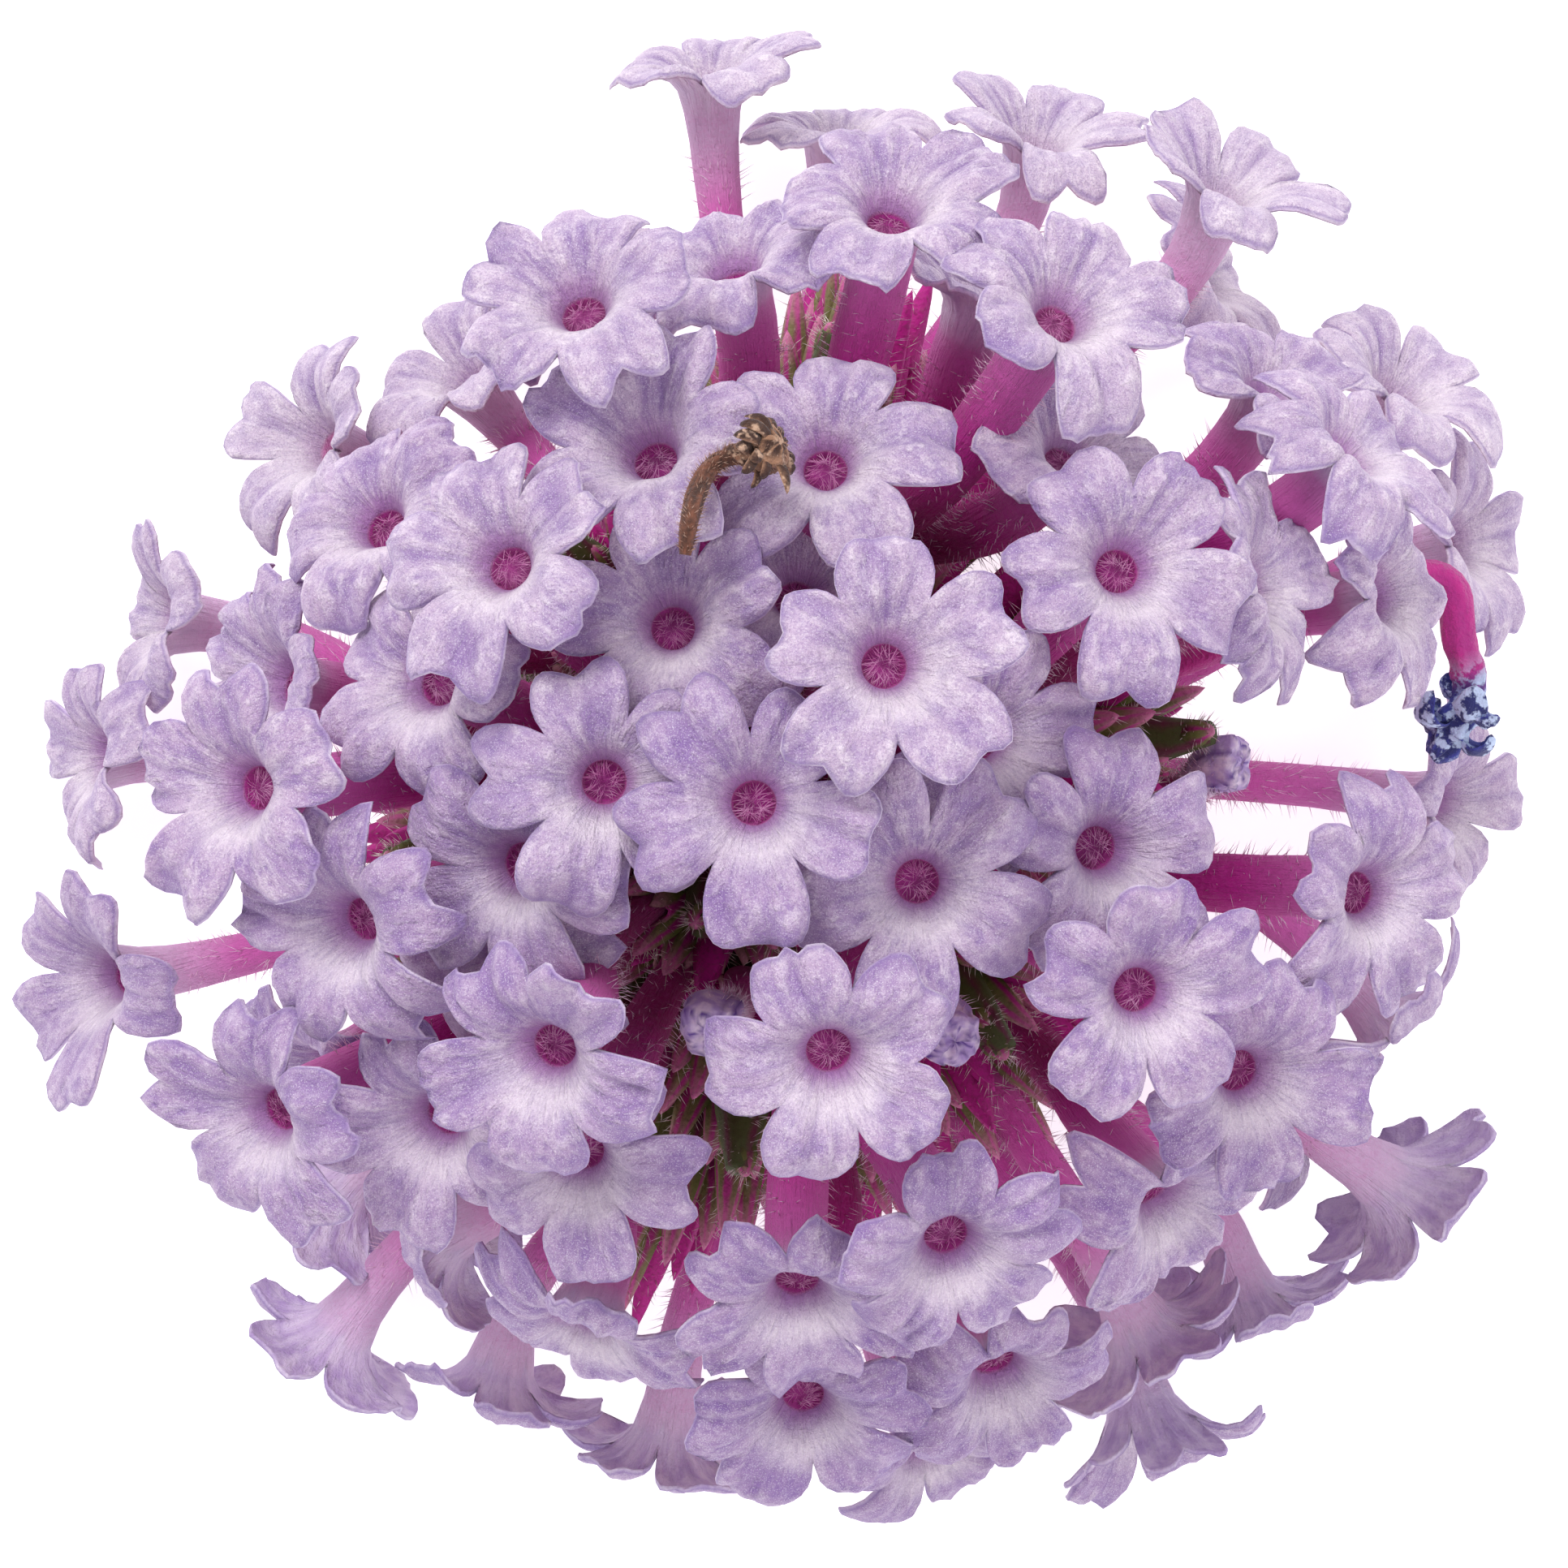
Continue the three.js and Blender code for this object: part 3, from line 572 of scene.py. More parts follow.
@dataclass(frozen=True)
class CalyxFinish:
    """Ribbed green calyces and buds with magenta tips, dark maroon towards the root, and painted near-black shade
    inside the mouths and in patches.
    """

    green: Colour = (0.055, 0.075, 0.012)
    light_green: Colour = (0.22, 0.25, 0.05)
    maroon: Colour = (0.10, 0.004, 0.03)
    magenta: Colour = (0.50, 0.010, 0.25)
    pink: Colour = (0.66, 0.20, 0.38)
    # Near black: painted shade.
    inside: Colour = (0.045, 0.024, 0.010)

    def material(self) -> bpy.types.Material:
        """Builds the material, which reads the piece's ray and mask attributes."""
        tree = ShaderTree("calyx_and_bud")
        _, _, along = tree.attribute("ray")
        rib, tip, hollow_shade = tree.attribute("mask")
        place = tree.millimetres()
        cloud = tree.noise(place, 1.3, 3)
        fine = tree.noise(place, 8, 3, 0.6)
        colour = tree.layered(
            # Dark maroon at the root and magenta towards the mouth: partly the calyx's own colour, partly painted
            # shade deep in the head.
            tree.blend(along.rise(0.45, 1.0), self.maroon, self.magenta),
            (
                (rib * 0.9 + cloud * 0.8 - 0.3).rise(0.2, 0.7),
                tree.blend(along.rise(0.3, 1.0) * 0.7, self.green, self.light_green),
            ),
            (tip * 0.85, self.pink),
            # Painted near-black shade in patches and inside each calyx's mouth.
            (fine.rise(0.4, 0.75) * 0.4, self.inside),
            (hollow_shade, self.inside),
        )
        return tree.surface(colour, 0.58, fine * 0.6 + cloud * 0.4, 0.07, Specular_IOR_Level=0.35)


@dataclass(frozen=True)
class StemFinish:
    """A green, slightly ribbed stem with maroon flushes and a paler cut end."""

    green: Colour = (0.13, 0.20, 0.045)
    light: Colour = (0.30, 0.36, 0.13)
    flush: Colour = (0.20, 0.06, 0.06)
    pith: Colour = (0.55, 0.58, 0.36)

    def material(self) -> bpy.types.Material:
        """Builds the material, which reads the piece's mask attribute: rib, flush and cut."""
        tree = ShaderTree("stem")
        rib, flush, cut = tree.attribute("mask")
        place = tree.millimetres()
        cloud = tree.noise(place, 0.9, 3)
        fibre = tree.noise(place, 6, 3, 0.6)
        colour = tree.blend((rib * 0.7 + fibre * 0.5).rise(0.3, 0.9), self.green, self.light)
        colour = tree.layered(colour, (flush * cloud * 1.8, self.flush), (cut, self.pith))
        return tree.surface(colour, 0.6, fibre * 0.7 + cloud * 0.3, 0.08, Specular_IOR_Level=0.35)


@dataclass(frozen=True)
class FurledFinish:
    """A furled corolla: magenta tube, violet folded head with painted dark shade along its folds."""

    tube: Colour = (0.44, 0.03, 0.24)
    pink: Colour = (0.82, 0.70, 0.83)
    violet: Colour = (0.48, 0.34, 0.66)
    # The colour of the painted shade along the folds.
    fold: Colour = (0.10, 0.03, 0.30)

    def material(self) -> bpy.types.Material:
        """Builds the material, which reads the piece's ray and mask attributes."""
        tree = ShaderTree("furled_corolla")
        _, _, along = tree.attribute("ray")
        crease, head, _ = tree.attribute("mask")
        place = tree.millimetres()
        cloud = tree.noise(place, 2.4, 3)
        fine = tree.noise(place, 10, 2)
        colour = tree.layered(
            tree.blend(along.rise(0.2, 0.75), self.tube, self.pink),
            (head, tree.blend(cloud.rise(0.35, 0.7), self.violet, self.pink)),
            # Painted shade along the folds and under the flaps' edges.
            (crease * (0.7 + cloud * 0.6), self.fold),
        )
        return tree.surface(colour, 0.6, cloud * 0.5 + fine * 0.5, 0.08, Sheen_Weight=0.1)


@dataclass(frozen=True)
class WitheredFinish:
    """A dried corolla: a base colour, painted shade in its sunken wrinkles, and downy patches."""

    name: str
    tube: Colour
    head: Colour
    # The colour of the painted shade.
    hollow_shade: Colour
    down: Colour
    down_from: float
    tube_hollow_shade: float = 1.0

    def material(self) -> bpy.types.Material:
        """Builds the material, which reads the piece's ray and mask attributes."""
        tree = ShaderTree(self.name)
        _, _, along = tree.attribute("ray")
        sunk, _, _ = tree.attribute("mask")
        place = tree.millimetres()
        cloud = tree.noise(place, 2.2, 3, 0.6)
        wrinkle = tree.noise(place, 6.5, 3, 0.65)
        # Painted shade in the sunken flutes, gutters and wrinkles, less of it on the tube.
        hollow_shade_share = (sunk * 0.8 + wrinkle * 0.6).rise(0.4, 0.85)
        hollow_shade_share = hollow_shade_share * (along.rise(0.55, 0.7) * (1 - self.tube_hollow_shade) + self.tube_hollow_shade)
        downy = cloud.rise(self.down_from, self.down_from + 0.1) * along.rise(0.5, 0.7)
        colour = tree.blend(along.rise(0.55, 0.75), self.tube, self.head)
        colour = tree.layered(colour, (hollow_shade_share, self.hollow_shade), (downy, self.down))
        return tree.surface(colour, 0.8, wrinkle * 0.7 + cloud * 0.3, 0.16, Sheen_Weight=0.15)


@dataclass(frozen=True)
class FloorFinish:
    """A plain white studio floor."""

    white: Colour = (0.90, 0.90, 0.91)
    shade: Colour = (0.88, 0.88, 0.88)
    glow: float = 0.68

    def material(self) -> bpy.types.Material:
        """Builds the material."""
        tree = ShaderTree("studio_floor")
        faint = tree.noise(tree.millimetres(), 0.02, 1)
        colour = tree.blend(faint * 0.1, self.white, self.shade)
        glow = (*self.white, 1)
        return tree.surface(colour, 0.9, faint, 0.01, Emission_Color=glow, Emission_Strength=self.glow)


# ---------- where everything grows ----------


@dataclass
class Spike:
    """One flower spike's axis."""

    name: str
    axis: Vector
    length: float


@dataclass
class Corolla:
    """The place of one corolla, open, furled or withered, and of the calyx that it grows from."""

    number: int
    outward: Vector
    facing: Vector
    petal: Vector
    throat: Vector
    spike: Spike
    cup: float = 0.0
    limb_radius: float = 0.0
    path: list[Vector] = field(default_factory=list)
    rooted: bool = True
    mouth: Vector = field(default_factory=Vector)
    root: Vector = field(default_factory=Vector)
    calyx_axis: Vector = field(default_factory=Vector)
    tube_start: Vector = field(default_factory=Vector)

    @property
    def side(self) -> Vector:
        """The limb's second axis."""
        return self.facing.cross(self.petal)


@dataclass
class TubeLine:
    """The centre line of a corolla's tube."""

    corolla: Corolla
    rise: float = 0.42
    nod: float = 0.36
    top_drop: float = 0.6

    def __post_init__(self) -> None:
        """Works out the points that shape the line."""
        corolla = self.corolla
        if corolla.path:
            self.points = [corolla.tube_start, *corolla.path] if corolla.rooted else list(corolla.path)
            return
        top = corolla.throat - corolla.facing * self.top_drop
        span = (top - corolla.tube_start).length
        self.points = [
            corolla.tube_start,
            corolla.tube_start + corolla.calyx_axis * (self.rise * span),
            top - corolla.facing * (self.nod * span),
            top,
        ]

    def at(self, station: float) -> Vector:
        """The point at a station between 0 and 1."""
        if self.corolla.path:
            return self.through(station)
        a, b, c, d = self.points
        t, s = station, 1 - station
        return a * s**3 + b * (3 * s * s * t) + c * (3 * s * t * t) + d * t**3

    def through(self, station: float) -> Vector:
        """The point of a smooth line through all of the points."""
        last = len(self.points) - 1
        place = clamp(station) * last
        k = min(int(place), last - 1)
        t = place - k
        p1, p2 = self.points[k], self.points[k + 1]
        p0 = self.points[k - 1] if k else p1 * 2 - p2
        p3 = self.points[k + 2] if k + 2 <= last else p2 * 2 - p1
        bend = (p0 * 2 - p1 * 5 + p2 * 4 - p3) * t * t + (p1 * 3 - p0 - p2 * 3 + p3) * t**3
        return (p1 * 2 + (p2 - p0) * t + bend) * 0.5

    def along(self, station: float) -> Vector:
        """The line's direction at a station."""
        step = 0.01
        return (self.at(min(1, station + step)) - self.at(max(0, station - step))).normalized()

    def round(self, station: float, turn: float, radius: float) -> tuple[Vector, Vector]:
        """A point round the line.

        Args:
            station: Place along the line.
            turn: Turn round it, in radians.
            radius: Distance from it.

        Returns:
            The point and the direction outwards there.
        """
        outward = around(self.along(station), self.corolla.petal, turn)
        return self.at(station) + outward * radius, outward


@dataclass
class HeadPlan:
    """Places every spike, calyx and corolla of the head."""

    gap: float = 0.3
    calyx_length: float = 4.4
    mouth_spacing: float = 1.75
    mouth_spread: tuple[float, float] = (1.5, 3.9)
    settle_rounds: int = 60
    open_zone: tuple[float, float] = (0.8, 0.52)
    widest_floret: float = 52
    crowded: list[Vector] = field(default_factory=list)

    def __post_init__(self) -> None:
        """Lays out the head."""
        self.spikes = [Spike(name, direction(bearing, lean), length) for name, bearing, lean, length in SPIKES]
        self.florets = [self.open_floret(*row) for row in FLORETS]
        self.furled = [self.furled_corolla(*row) for row in FURLED]
        self.brown = self.withered_corolla(80, BROWN_PATH, rooted=False)
        self.blue = self.withered_corolla(81, BLUE_PATH, rooted=True)
        self.seated = [*self.florets, *self.furled, self.blue]
        self.place_mouths()
        for _ in range(self.settle_rounds):
            self.part_mouths()
            for corolla in self.seated:
                self.keep_on_spike(corolla)
        for corolla in self.seated:
            self.root_calyx(corolla)

    def nearest_spike(self, outward: Vector) -> Spike:
        """The spike whose axis stands nearest to a direction."""
        return max(self.spikes, key=lambda spike: outward.dot(spike.axis))

    def open_floret(
        self,
        number: int,
        bearing: float,
        lean: float,
        reach: float,
        petal_bearing: float,
        nod: float = 0,
        swing: float = 0,
        cup: float = 0,
    ) -> Corolla:
        """Places an open floret from its row of the table."""
        outward = direction(bearing, lean)
        facing = direction(bearing + swing, lean + nod)
        petal = square_to(facing, direction(petal_bearing, 90))
        throat = FOCUS + outward * reach
        return Corolla(number, outward, facing, petal, throat, self.nearest_spike(outward), cup, LIMB_RADIUS)

    def furled_corolla(self, number: int, bearing: float, lean: float, reach: float) -> Corolla:
        """Places a furled corolla from its row of the table."""
        outward = direction(bearing, lean)
        petal = square_to(outward, Vector((0, 1, 0)))
        return Corolla(number, outward, outward, petal, FOCUS + outward * reach, self.nearest_spike(outward))

    def withered_corolla(self, number: int, rows: Sequence[tuple[float, float, float]], rooted: bool) -> Corolla:
        """Places a withered corolla along its path."""
        path = [FOCUS + direction(bearing, lean) * reach for bearing, lean, reach in rows]
        outward = direction(rows[0][0], rows[0][1])
        spike = self.nearest_spike(outward)
        return Corolla(number, outward, outward, UP.copy(), path[0], spike, path=path, rooted=rooted)

    def place_mouths(self) -> None:
        """Puts each calyx's mouth on its spike, on its floret's side and lower for one that faces away."""
        for corolla in self.seated:
            axis, length = corolla.spike.axis, corolla.spike.length
            share = min(1, math.degrees(corolla.outward.angle(axis)) / self.widest_floret)
            spread = lerp(*self.mouth_spread, math.sqrt(share))
            corolla.mouth = FOCUS + axis * (length * lerp(*self.open_zone, share))
            corolla.mouth += square_to(axis, corolla.outward) * spread

    def part_mouths(self) -> None:
        """Moves mouths apart that stand too close."""
        for i, one in enumerate(self.seated):
            for other in self.seated[i + 1 :]:
                between = other.mouth - one.mouth
                lack = self.mouth_spacing - between.length
                if lack > 0:
                    between.length = lack / 2
                    one.mouth -= between
                    other.mouth += between

    def keep_on_spike(self, corolla: Corolla) -> None:
        """Keeps a mouth within its spike's reach."""
        axis, length = corolla.spike.axis, corolla.spike.length
        from_focus = corolla.mouth - FOCUS
        along = clamp(from_focus.dot(axis), length * self.open_zone[1], length * self.open_zone[0])
        outward = from_focus - axis * from_focus.dot(axis)
        outward.length = clamp(outward.length, *self.mouth_spread)
        corolla.mouth = FOCUS + axis * along + outward

    def root_calyx(self, corolla: Corolla) -> None:
        """Roots a calyx on the axis of its rachis."""
        axis = corolla.spike.axis
        from_focus = corolla.mouth - FOCUS
        along = from_focus.dot(axis)
        spread = from_focus.length_squared - along * along
        drop = math.sqrt(self.calyx_length**2 - spread)
        corolla.root = FOCUS + axis * (along - drop)
        corolla.calyx_axis = (corolla.mouth - corolla.root).normalized()
        corolla.tube_start = corolla.mouth + corolla.calyx_axis * self.gap


# ---------- meshes ----------


@dataclass
class Spot:
    """One point of a wrapped form, with what its material reads there."""

    place: Vector
    turn: float = 0.0
    along: float = 0.0
    mask: Triple = (0.0, 0.0, 0.0)
    zone: Triple = (0.0, 0.0, 0.0)
    tint: Triple = (0.0, 0.0, 0.0)

    @property
    def ray(self) -> Triple:
        """The direction round the form, and the place along it."""
        return math.cos(self.turn), math.sin(self.turn), self.along


class Wrapping:
    """A mesh of closed forms, each wrapped from a grid: columns run round it and rows along it."""

    LAYERS = ("ray", "zone", "mask", "tint")
    MERGE = 1e-5

    def __init__(self, name: str) -> None:
        """Starts an empty mesh."""
        self.name = name
        self.bm = bmesh.new()
        self.layers = {layer: self.bm.verts.layers.float_vector.new(layer) for layer in self.LAYERS}

    def wrap(self, columns: int, rows: int, spot: Callable[[int, int], Spot]) -> None:
        """Wraps one closed form.

        Args:
            columns: Faces round it.
            rows: Faces from its first pole to its last.
            spot: Gives the point of a column and a row.
        """
        made = bmesh.ops.create_grid(self.bm, x_segments=columns, y_segments=rows, size=0.5)["verts"]
        for vert in made:
            column = round((vert.co.x + 0.5) * columns) % columns
            row = round((vert.co.y + 0.5) * rows)
            point = spot(column, row)
            vert.co = point.place
            for layer, key in self.layers.items():
                vert[key] = getattr(point, layer)
        bmesh.ops.remove_doubles(self.bm, verts=made, dist=self.MERGE)

    def piece(self, material: bpy.types.Material, slot: str, nodes: Iterable[str] = ()) -> bpy.types.Object:
        """Finishes the mesh as a piece of the head.

        Args:
            material: Its finish.
            slot: The record's material slot that the finish stands for; not used.
            nodes: The solids that it replaces.

        Returns:
            The object.
        """
        bmesh.ops.recalc_face_normals(self.bm, faces=self.bm.faces)
        return finished(self.bm, self.name, material, nodes)


def finished(
    bm: bmesh.types.BMesh, name: str, material: bpy.types.Material, nodes: Iterable[str] = ()
) -> bpy.types.Object:
    """Turns a mesh in millimetres into a smooth piece that rides on the head.

    Args:
        bm: The mesh, which is freed.
        name: The piece's name.
        material: Its finish.
        nodes: The solids that it replaces.

    Returns:
        The object.
    """
    for face in bm.faces:
        face.smooth = True
    bmesh.ops.scale(bm, vec=(MM, MM, MM), verts=bm.verts)
    mesh = bpy.data.meshes.new(name)
    bm.to_mesh(mesh)
    bm.free()
    mesh.materials.append(material)
    piece = bpy.data.objects.new(name, mesh)
    bpy.context.scene.collection.objects.link(piece)
    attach(piece, BODY)
    if nodes:
        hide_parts(*nodes)
    triangles = sum(len(face.vertices) - 2 for face in mesh.polygons)
    log.info("%s: %d triangles", name, triangles)
    return piece


class HairField:
    """Many fine hairs in one mesh, each a three-sided cone copied from one strand."""

    def __init__(self, name: str, material: bpy.types.Material, slot: str, bent: bool = False) -> None:
        """Makes the strand that every hair is copied from."""
        self.name = name
        self.material = material
        self.slot = slot
        self.bm = bmesh.new()
        self.strand = bpy.data.meshes.new(name + "_strand")
        self.shape_strand(bent)
        self.rest = [0.0] * (3 * len(self.strand.vertices))
        self.strand.vertices.foreach_get("co", self.rest)

    def shape_strand(self, bent: bool) -> None:
        """Shapes one unit-long strand that stands on its base, and may bend over towards its tip."""
        strand = bmesh.new()
        lift = Matrix.Translation((0, 0, 0.5))
        bmesh.ops.create_cone(strand, cap_ends=True, segments=3, radius1=1, radius2=0, depth=1, matrix=lift)
        if bent:
            geometry = [*strand.verts, *strand.edges, *strand.faces]
            bmesh.ops.bisect_plane(strand, geom=geometry, plane_co=(0, 0, 0.55), plane_no=(0, 0, 1))
            tips = [vert for vert in strand.verts if vert.co.z > 0.9]
            bmesh.ops.translate(strand, verts=tips, vec=(5.0, 0, 0))
        strand.to_mesh(self.strand)
        strand.free()

    def grow(self, root: Vector, aim: Vector, length: float, radius: float) -> None:
        """Adds a hair.

        Args:
            root: Where it grows.
            aim: The way that it points.
            length: Its length.
            radius: Its radius at the root.
        """
        turn = aim.to_track_quat("Z", "Y").to_matrix().to_4x4()
        size = Matrix.Diagonal((radius, radius, length, 1))
        self.strand.vertices.foreach_set("co", self.rest)
        self.strand.transform(Matrix.Translation(root) @ turn @ size)
        self.bm.from_mesh(self.strand, face_normals=False, vertex_normals=False)

    def piece(self) -> bpy.types.Object:
        """Finishes the hairs as a piece."""
        bpy.data.meshes.remove(self.strand)
        return finished(self.bm, self.name, self.material)


@dataclass(frozen=True)
class Coat:
    """How a tube's hairs are scattered. A pair is a least value and the most that a draw adds to it."""

    count: int
    stations: tuple[float, float]
    lengths: tuple[float, float]
    upright: tuple[float, float] = (1.0, 0.0)
    forward: float = 0.45
    aside: float = 0.9
    sunk: float = 0.98
    thickness: float = 0.018
    to_base: float = 1.0
    strides: Triple = (1.0, 1.0, 1.0)

    def grow(self, hairs: HairField, line: TubeLine, girth: Callable[[float], float]) -> None:
        """Grows the coat.

        Args:
            hairs: The mesh that takes the hairs.
            line: The tube's centre line.
            girth: Gives the tube's radius at a station.
        """
        number = line.corolla.number
        along, across, over = self.strides
        for k in range(self.count):
            least, more = self.stations
            station = least + more * draw(number, Trait.HAIR_STATION + k * along) ** self.to_base
            turn = 2 * math.pi * draw(number, Trait.HAIR_TURN + k * across)
            root, out = line.round(station, turn, girth(station) * self.sunk)
            tangent = line.along(station)
            aside = tangent.cross(out) * (self.aside * (draw(number, Trait.HAIR_ASIDE + k * over) - 0.5))
            least, more = self.upright
            up = out * (least + more * draw(number, Trait.HAIR_UPRIGHT + k))
            aim = (up + tangent * self.forward + aside).normalized()
            least, more = self.lengths
            hairs.grow(root, aim, least + more * draw(number, Trait.HAIR_LENGTH + k), self.thickness)


# ---------- open florets ----------


class Zone(Enum):
    """The parts of a corolla's surface, from the base of its tube to the bottom of its throat."""

    TUBE = "tube"
    UNDER = "under"
    EDGE = "edge"
    UPPER = "upper"
    PIT = "pit"


@dataclass
class OpenCorolla:
    """One open corolla: tube, limb of five notched petals, and throat."""

    plan: Corolla
    petal_thickness: float = 0.17
    throat_radius: float = 0.62
    funnel_rise: float = 1.7
    funnel_length: float = 0.9
    reflex: float = 0.7
    pitch_spread: float = 28
    twist_spread: float = 36
    length_spread: float = 0.12
    lip_share: float = 0.07
    ripple: float = 0.5
    furrow: float = 0.34
    dimple: float = 0.11
    crease: float = 0.09
    tube_top: float = 0.9
    tube_depth: float = 0.6
    # How far the painted shade of the margin reaches in.
    edge_shade_width: float = 0.16
    halo_radius: float = 1.25
    halo_width: float = 0.48
    sunk: float = 0.12
    back_leans: tuple[float, float] = (55, 95)
    brush: int = 76
    hair: float = 0.016
    HALF = (0, 5, 10, 14, 18, 22, 26, 30, 33)
    OUTLINE = (
        *((0, 0.925), (5, 0.94), (10, 0.97), (14, 0.985), (18, 0.975)),
        *((22, 0.93), (26, 0.86), (30, 0.77), (33, 0.68), (36, 0.56)),
    )
    TUBE_RADII = ((0.0, 0.52), (0.15, 0.6), (0.5, 0.66), (0.75, 0.7), (0.9, 0.78), (1.0, 0.9))
    ROWS = (
        *((Zone.TUBE, station) for station in (-0.12, -0.119, 0.0, 0.13, 0.27, 0.41)),
        *((Zone.TUBE, station) for station in (0.55, 0.69, 0.82, 0.92, 1.0)),
        *((Zone.UNDER, share) for share in (0.1, 0.25, 0.45, 0.65, 0.85, 0.96)),
        *((Zone.EDGE, share) for share in (1.0, 0.5, 0.0)),
        *((Zone.UPPER, share) for share in (0.94, 0.86, 0.77, 0.68, 0.59, 0.5)),
        *((Zone.UPPER, share) for share in (0.41, 0.32, 0.23, 0.15, 0.07, 0.0)),
        *((Zone.PIT, share) for share in (0.25, 0.5, 0.75, 0.999, 1.0)),
    )
    PLAIN_OUTLINE = {0: 0.92, 14: 0.98, 25: 0.86, 36: 0.54}
    PIT_DEPTH = 0.42
    TUBE_SHIFT = 0.743
    LIP_WAY = Vector((0.25, -1, -0.2))

    def __post_init__(self) -> None:
        """Works out the columns, the petals' own differences and the floret's painted light and shade."""
        self.line = TubeLine(self.plan)
        whole = [*(-angle for angle in reversed(self.HALF[1:])), *self.HALF, SECTOR]
        self.columns = [(petal, angle) for petal in range(PETALS) for angle in whole]
        self.lift_onto_surface()
        number = self.plan.number
        lean = math.degrees(self.plan.outward.angle(UP))
        height = self.plan.throat.y / HEAD_RADIUS
        self.back = ease(*self.back_leans, lean)
        self.stoutness = 0.32 * (1 - self.back)
        # Paleness rises towards +Y and on florets that lean out, and blue rises towards -Y: painted light from
        # above and from the bright rim, and painted shade low down, on top of a random tone of each floret's own.
        pale = 0.22 + 0.4 * height + self.back * (0.2 + 0.4 * height)
        pale += 0.3 * (draw(number, Trait.PALE) - 0.5)
        blue = 0.1 - 0.4 * height + 0.3 * (draw(number, Trait.BLUE) - 0.5)
        self.tint = (clamp(pale), clamp(blue), draw(number, Trait.SEED))

    def height(self, petal: int, angle: float, radius: float) -> float:
        """How far a petal stands forward of the throat at an angle from its middle and a radius."""
        number = self.plan.number
        beyond = radius - self.throat_radius
        flare = self.funnel_rise * (1 - math.exp(-beyond / self.funnel_length))
        reflex = 2 * self.reflex * draw(number, Trait.REFLEX + petal) * (radius / LIMB_RADIUS) ** 4
        to_side = abs(angle) / SECTOR
        neighbour = (petal + (1 if angle > 0 else PETALS - 1)) % PETALS
        lift = beyond * lerp(self.pitch(petal), self.pitch(neighbour), to_side**3 / 2)
        turn = math.tan(math.radians(self.twist_spread * (draw(number, Trait.TWIST + petal) - 0.5)))
        twist = turn * radius * math.sin(math.radians(angle)) * (1 - to_side * to_side)
        return flare - reflex + lift + twist

    def pitch(self, petal: int) -> float:
        """The slope of one petal."""
        spread = self.pitch_spread * (draw(self.plan.number, Trait.PITCH + petal) - 0.5)
        return math.tan(math.radians(self.plan.cup + spread))

    def reach(self, petal: int, angle: float) -> float:
        """How far from the throat a petal's edge is at an angle from its middle."""
        number = self.plan.number
        to_side = abs(angle) / SECTOR
        long = lerp(self.length(petal), 1, to_side)
        fullness = 0.18 * (draw(number, Trait.FULLNESS + petal) - 0.4)
        fuller = 1 + fullness * math.sin(math.pi * min(1, to_side))
        notch = 0.07 * (draw(number, Trait.NOTCH + petal) - 0.45) * bell(angle, 6)
        wave = 0.045 * rough(angle * 0.12, petal * 7.3, number * 3.1)
        gap = petal if angle > 0 else (petal + PETALS - 1) % PETALS
        joined = 0.16 * (draw(number, Trait.JOIN + gap) - 0.5) - 0.12 * self.back
        share = interpolate(self.OUTLINE, abs(angle)) - notch + joined * ease(24, SECTOR, abs(angle))
        return LIMB_RADIUS * share * long * fuller * (1 + wave * (1 - to_side))

    def relief(self, petal: int, angle: float, radius: float, share: float) -> float:
        """The petal's creases, ripples and rolled margin."""
        seed = self.plan.number * 5.7 + petal * 11.3
        across = radius * math.sin(math.radians(angle))
        ripple = self.ripple * rough(radius * 0.75, across * 1.25, seed)
        furrow = self.furrow * rough(radius * 0.3, across * 3.2, seed + 50)
        dimple = self.dimple * rough(radius * 2.1, across * 2.6, seed + 90)
        side = 1 - (abs(angle) / SECTOR) ** 4
        middle = self.crease * bell(angle, 4.5) * ease(0.05, 0.35, share)
        roll = 0.2 * share**6 * (0.4 + draw(self.plan.number, Trait.ROLL + petal))
        soft = 1 - 0.5 * self.back
        return (ripple + furrow + dimple) * share * side * soft - middle - roll

    def on_limb(self, petal: int, angle: float, radius: float, height: float) -> Vector:
        """A point at a place of the limb and a height above its throat."""
        turn = math.radians(petal * 360 / PETALS + angle)
        plan = self.plan
        across = plan.petal * (radius * math.cos(turn)) + plan.side * (radius * math.sin(turn))
        return plan.throat + across + plan.facing * height

    def lift_onto_surface(self) -> None:
        """Lifts a floret that would dip below the rest plane, so that only its lowest edge rests on it."""
        lowest = math.inf
        for petal in range(PETALS):
            for angle in (-25, -14, 0, 14, 25, 36):
                radius = self.plain_reach(petal, angle)
                height = self.height(petal, angle, radius)
                for drop in (0, self.tube_depth):
                    lowest = min(lowest, self.on_limb(petal, angle, radius, height - drop).z)
        self.plan.throat.z += max(0.0, -self.sunk - lowest)
        self.line = TubeLine(self.plan)

    def plain_reach(self, petal: int, angle: float) -> float:
        """The reach of a petal's plain outline."""
        plain = self.PLAIN_OUTLINE[abs(angle)]
        return LIMB_RADIUS * plain * (1 if abs(angle) == 36 else self.length(petal))

    def length(self, petal: int) -> float:
        """How long a petal is beside the others. Those of the lower lip are longer."""
        own = self.length_spread * (draw(self.plan.number, Trait.LENGTH + petal) - 0.5)
        return 1 + own + self.lip_share * math.cos(math.radians(petal * 360 / PETALS) - self.lip_turn())

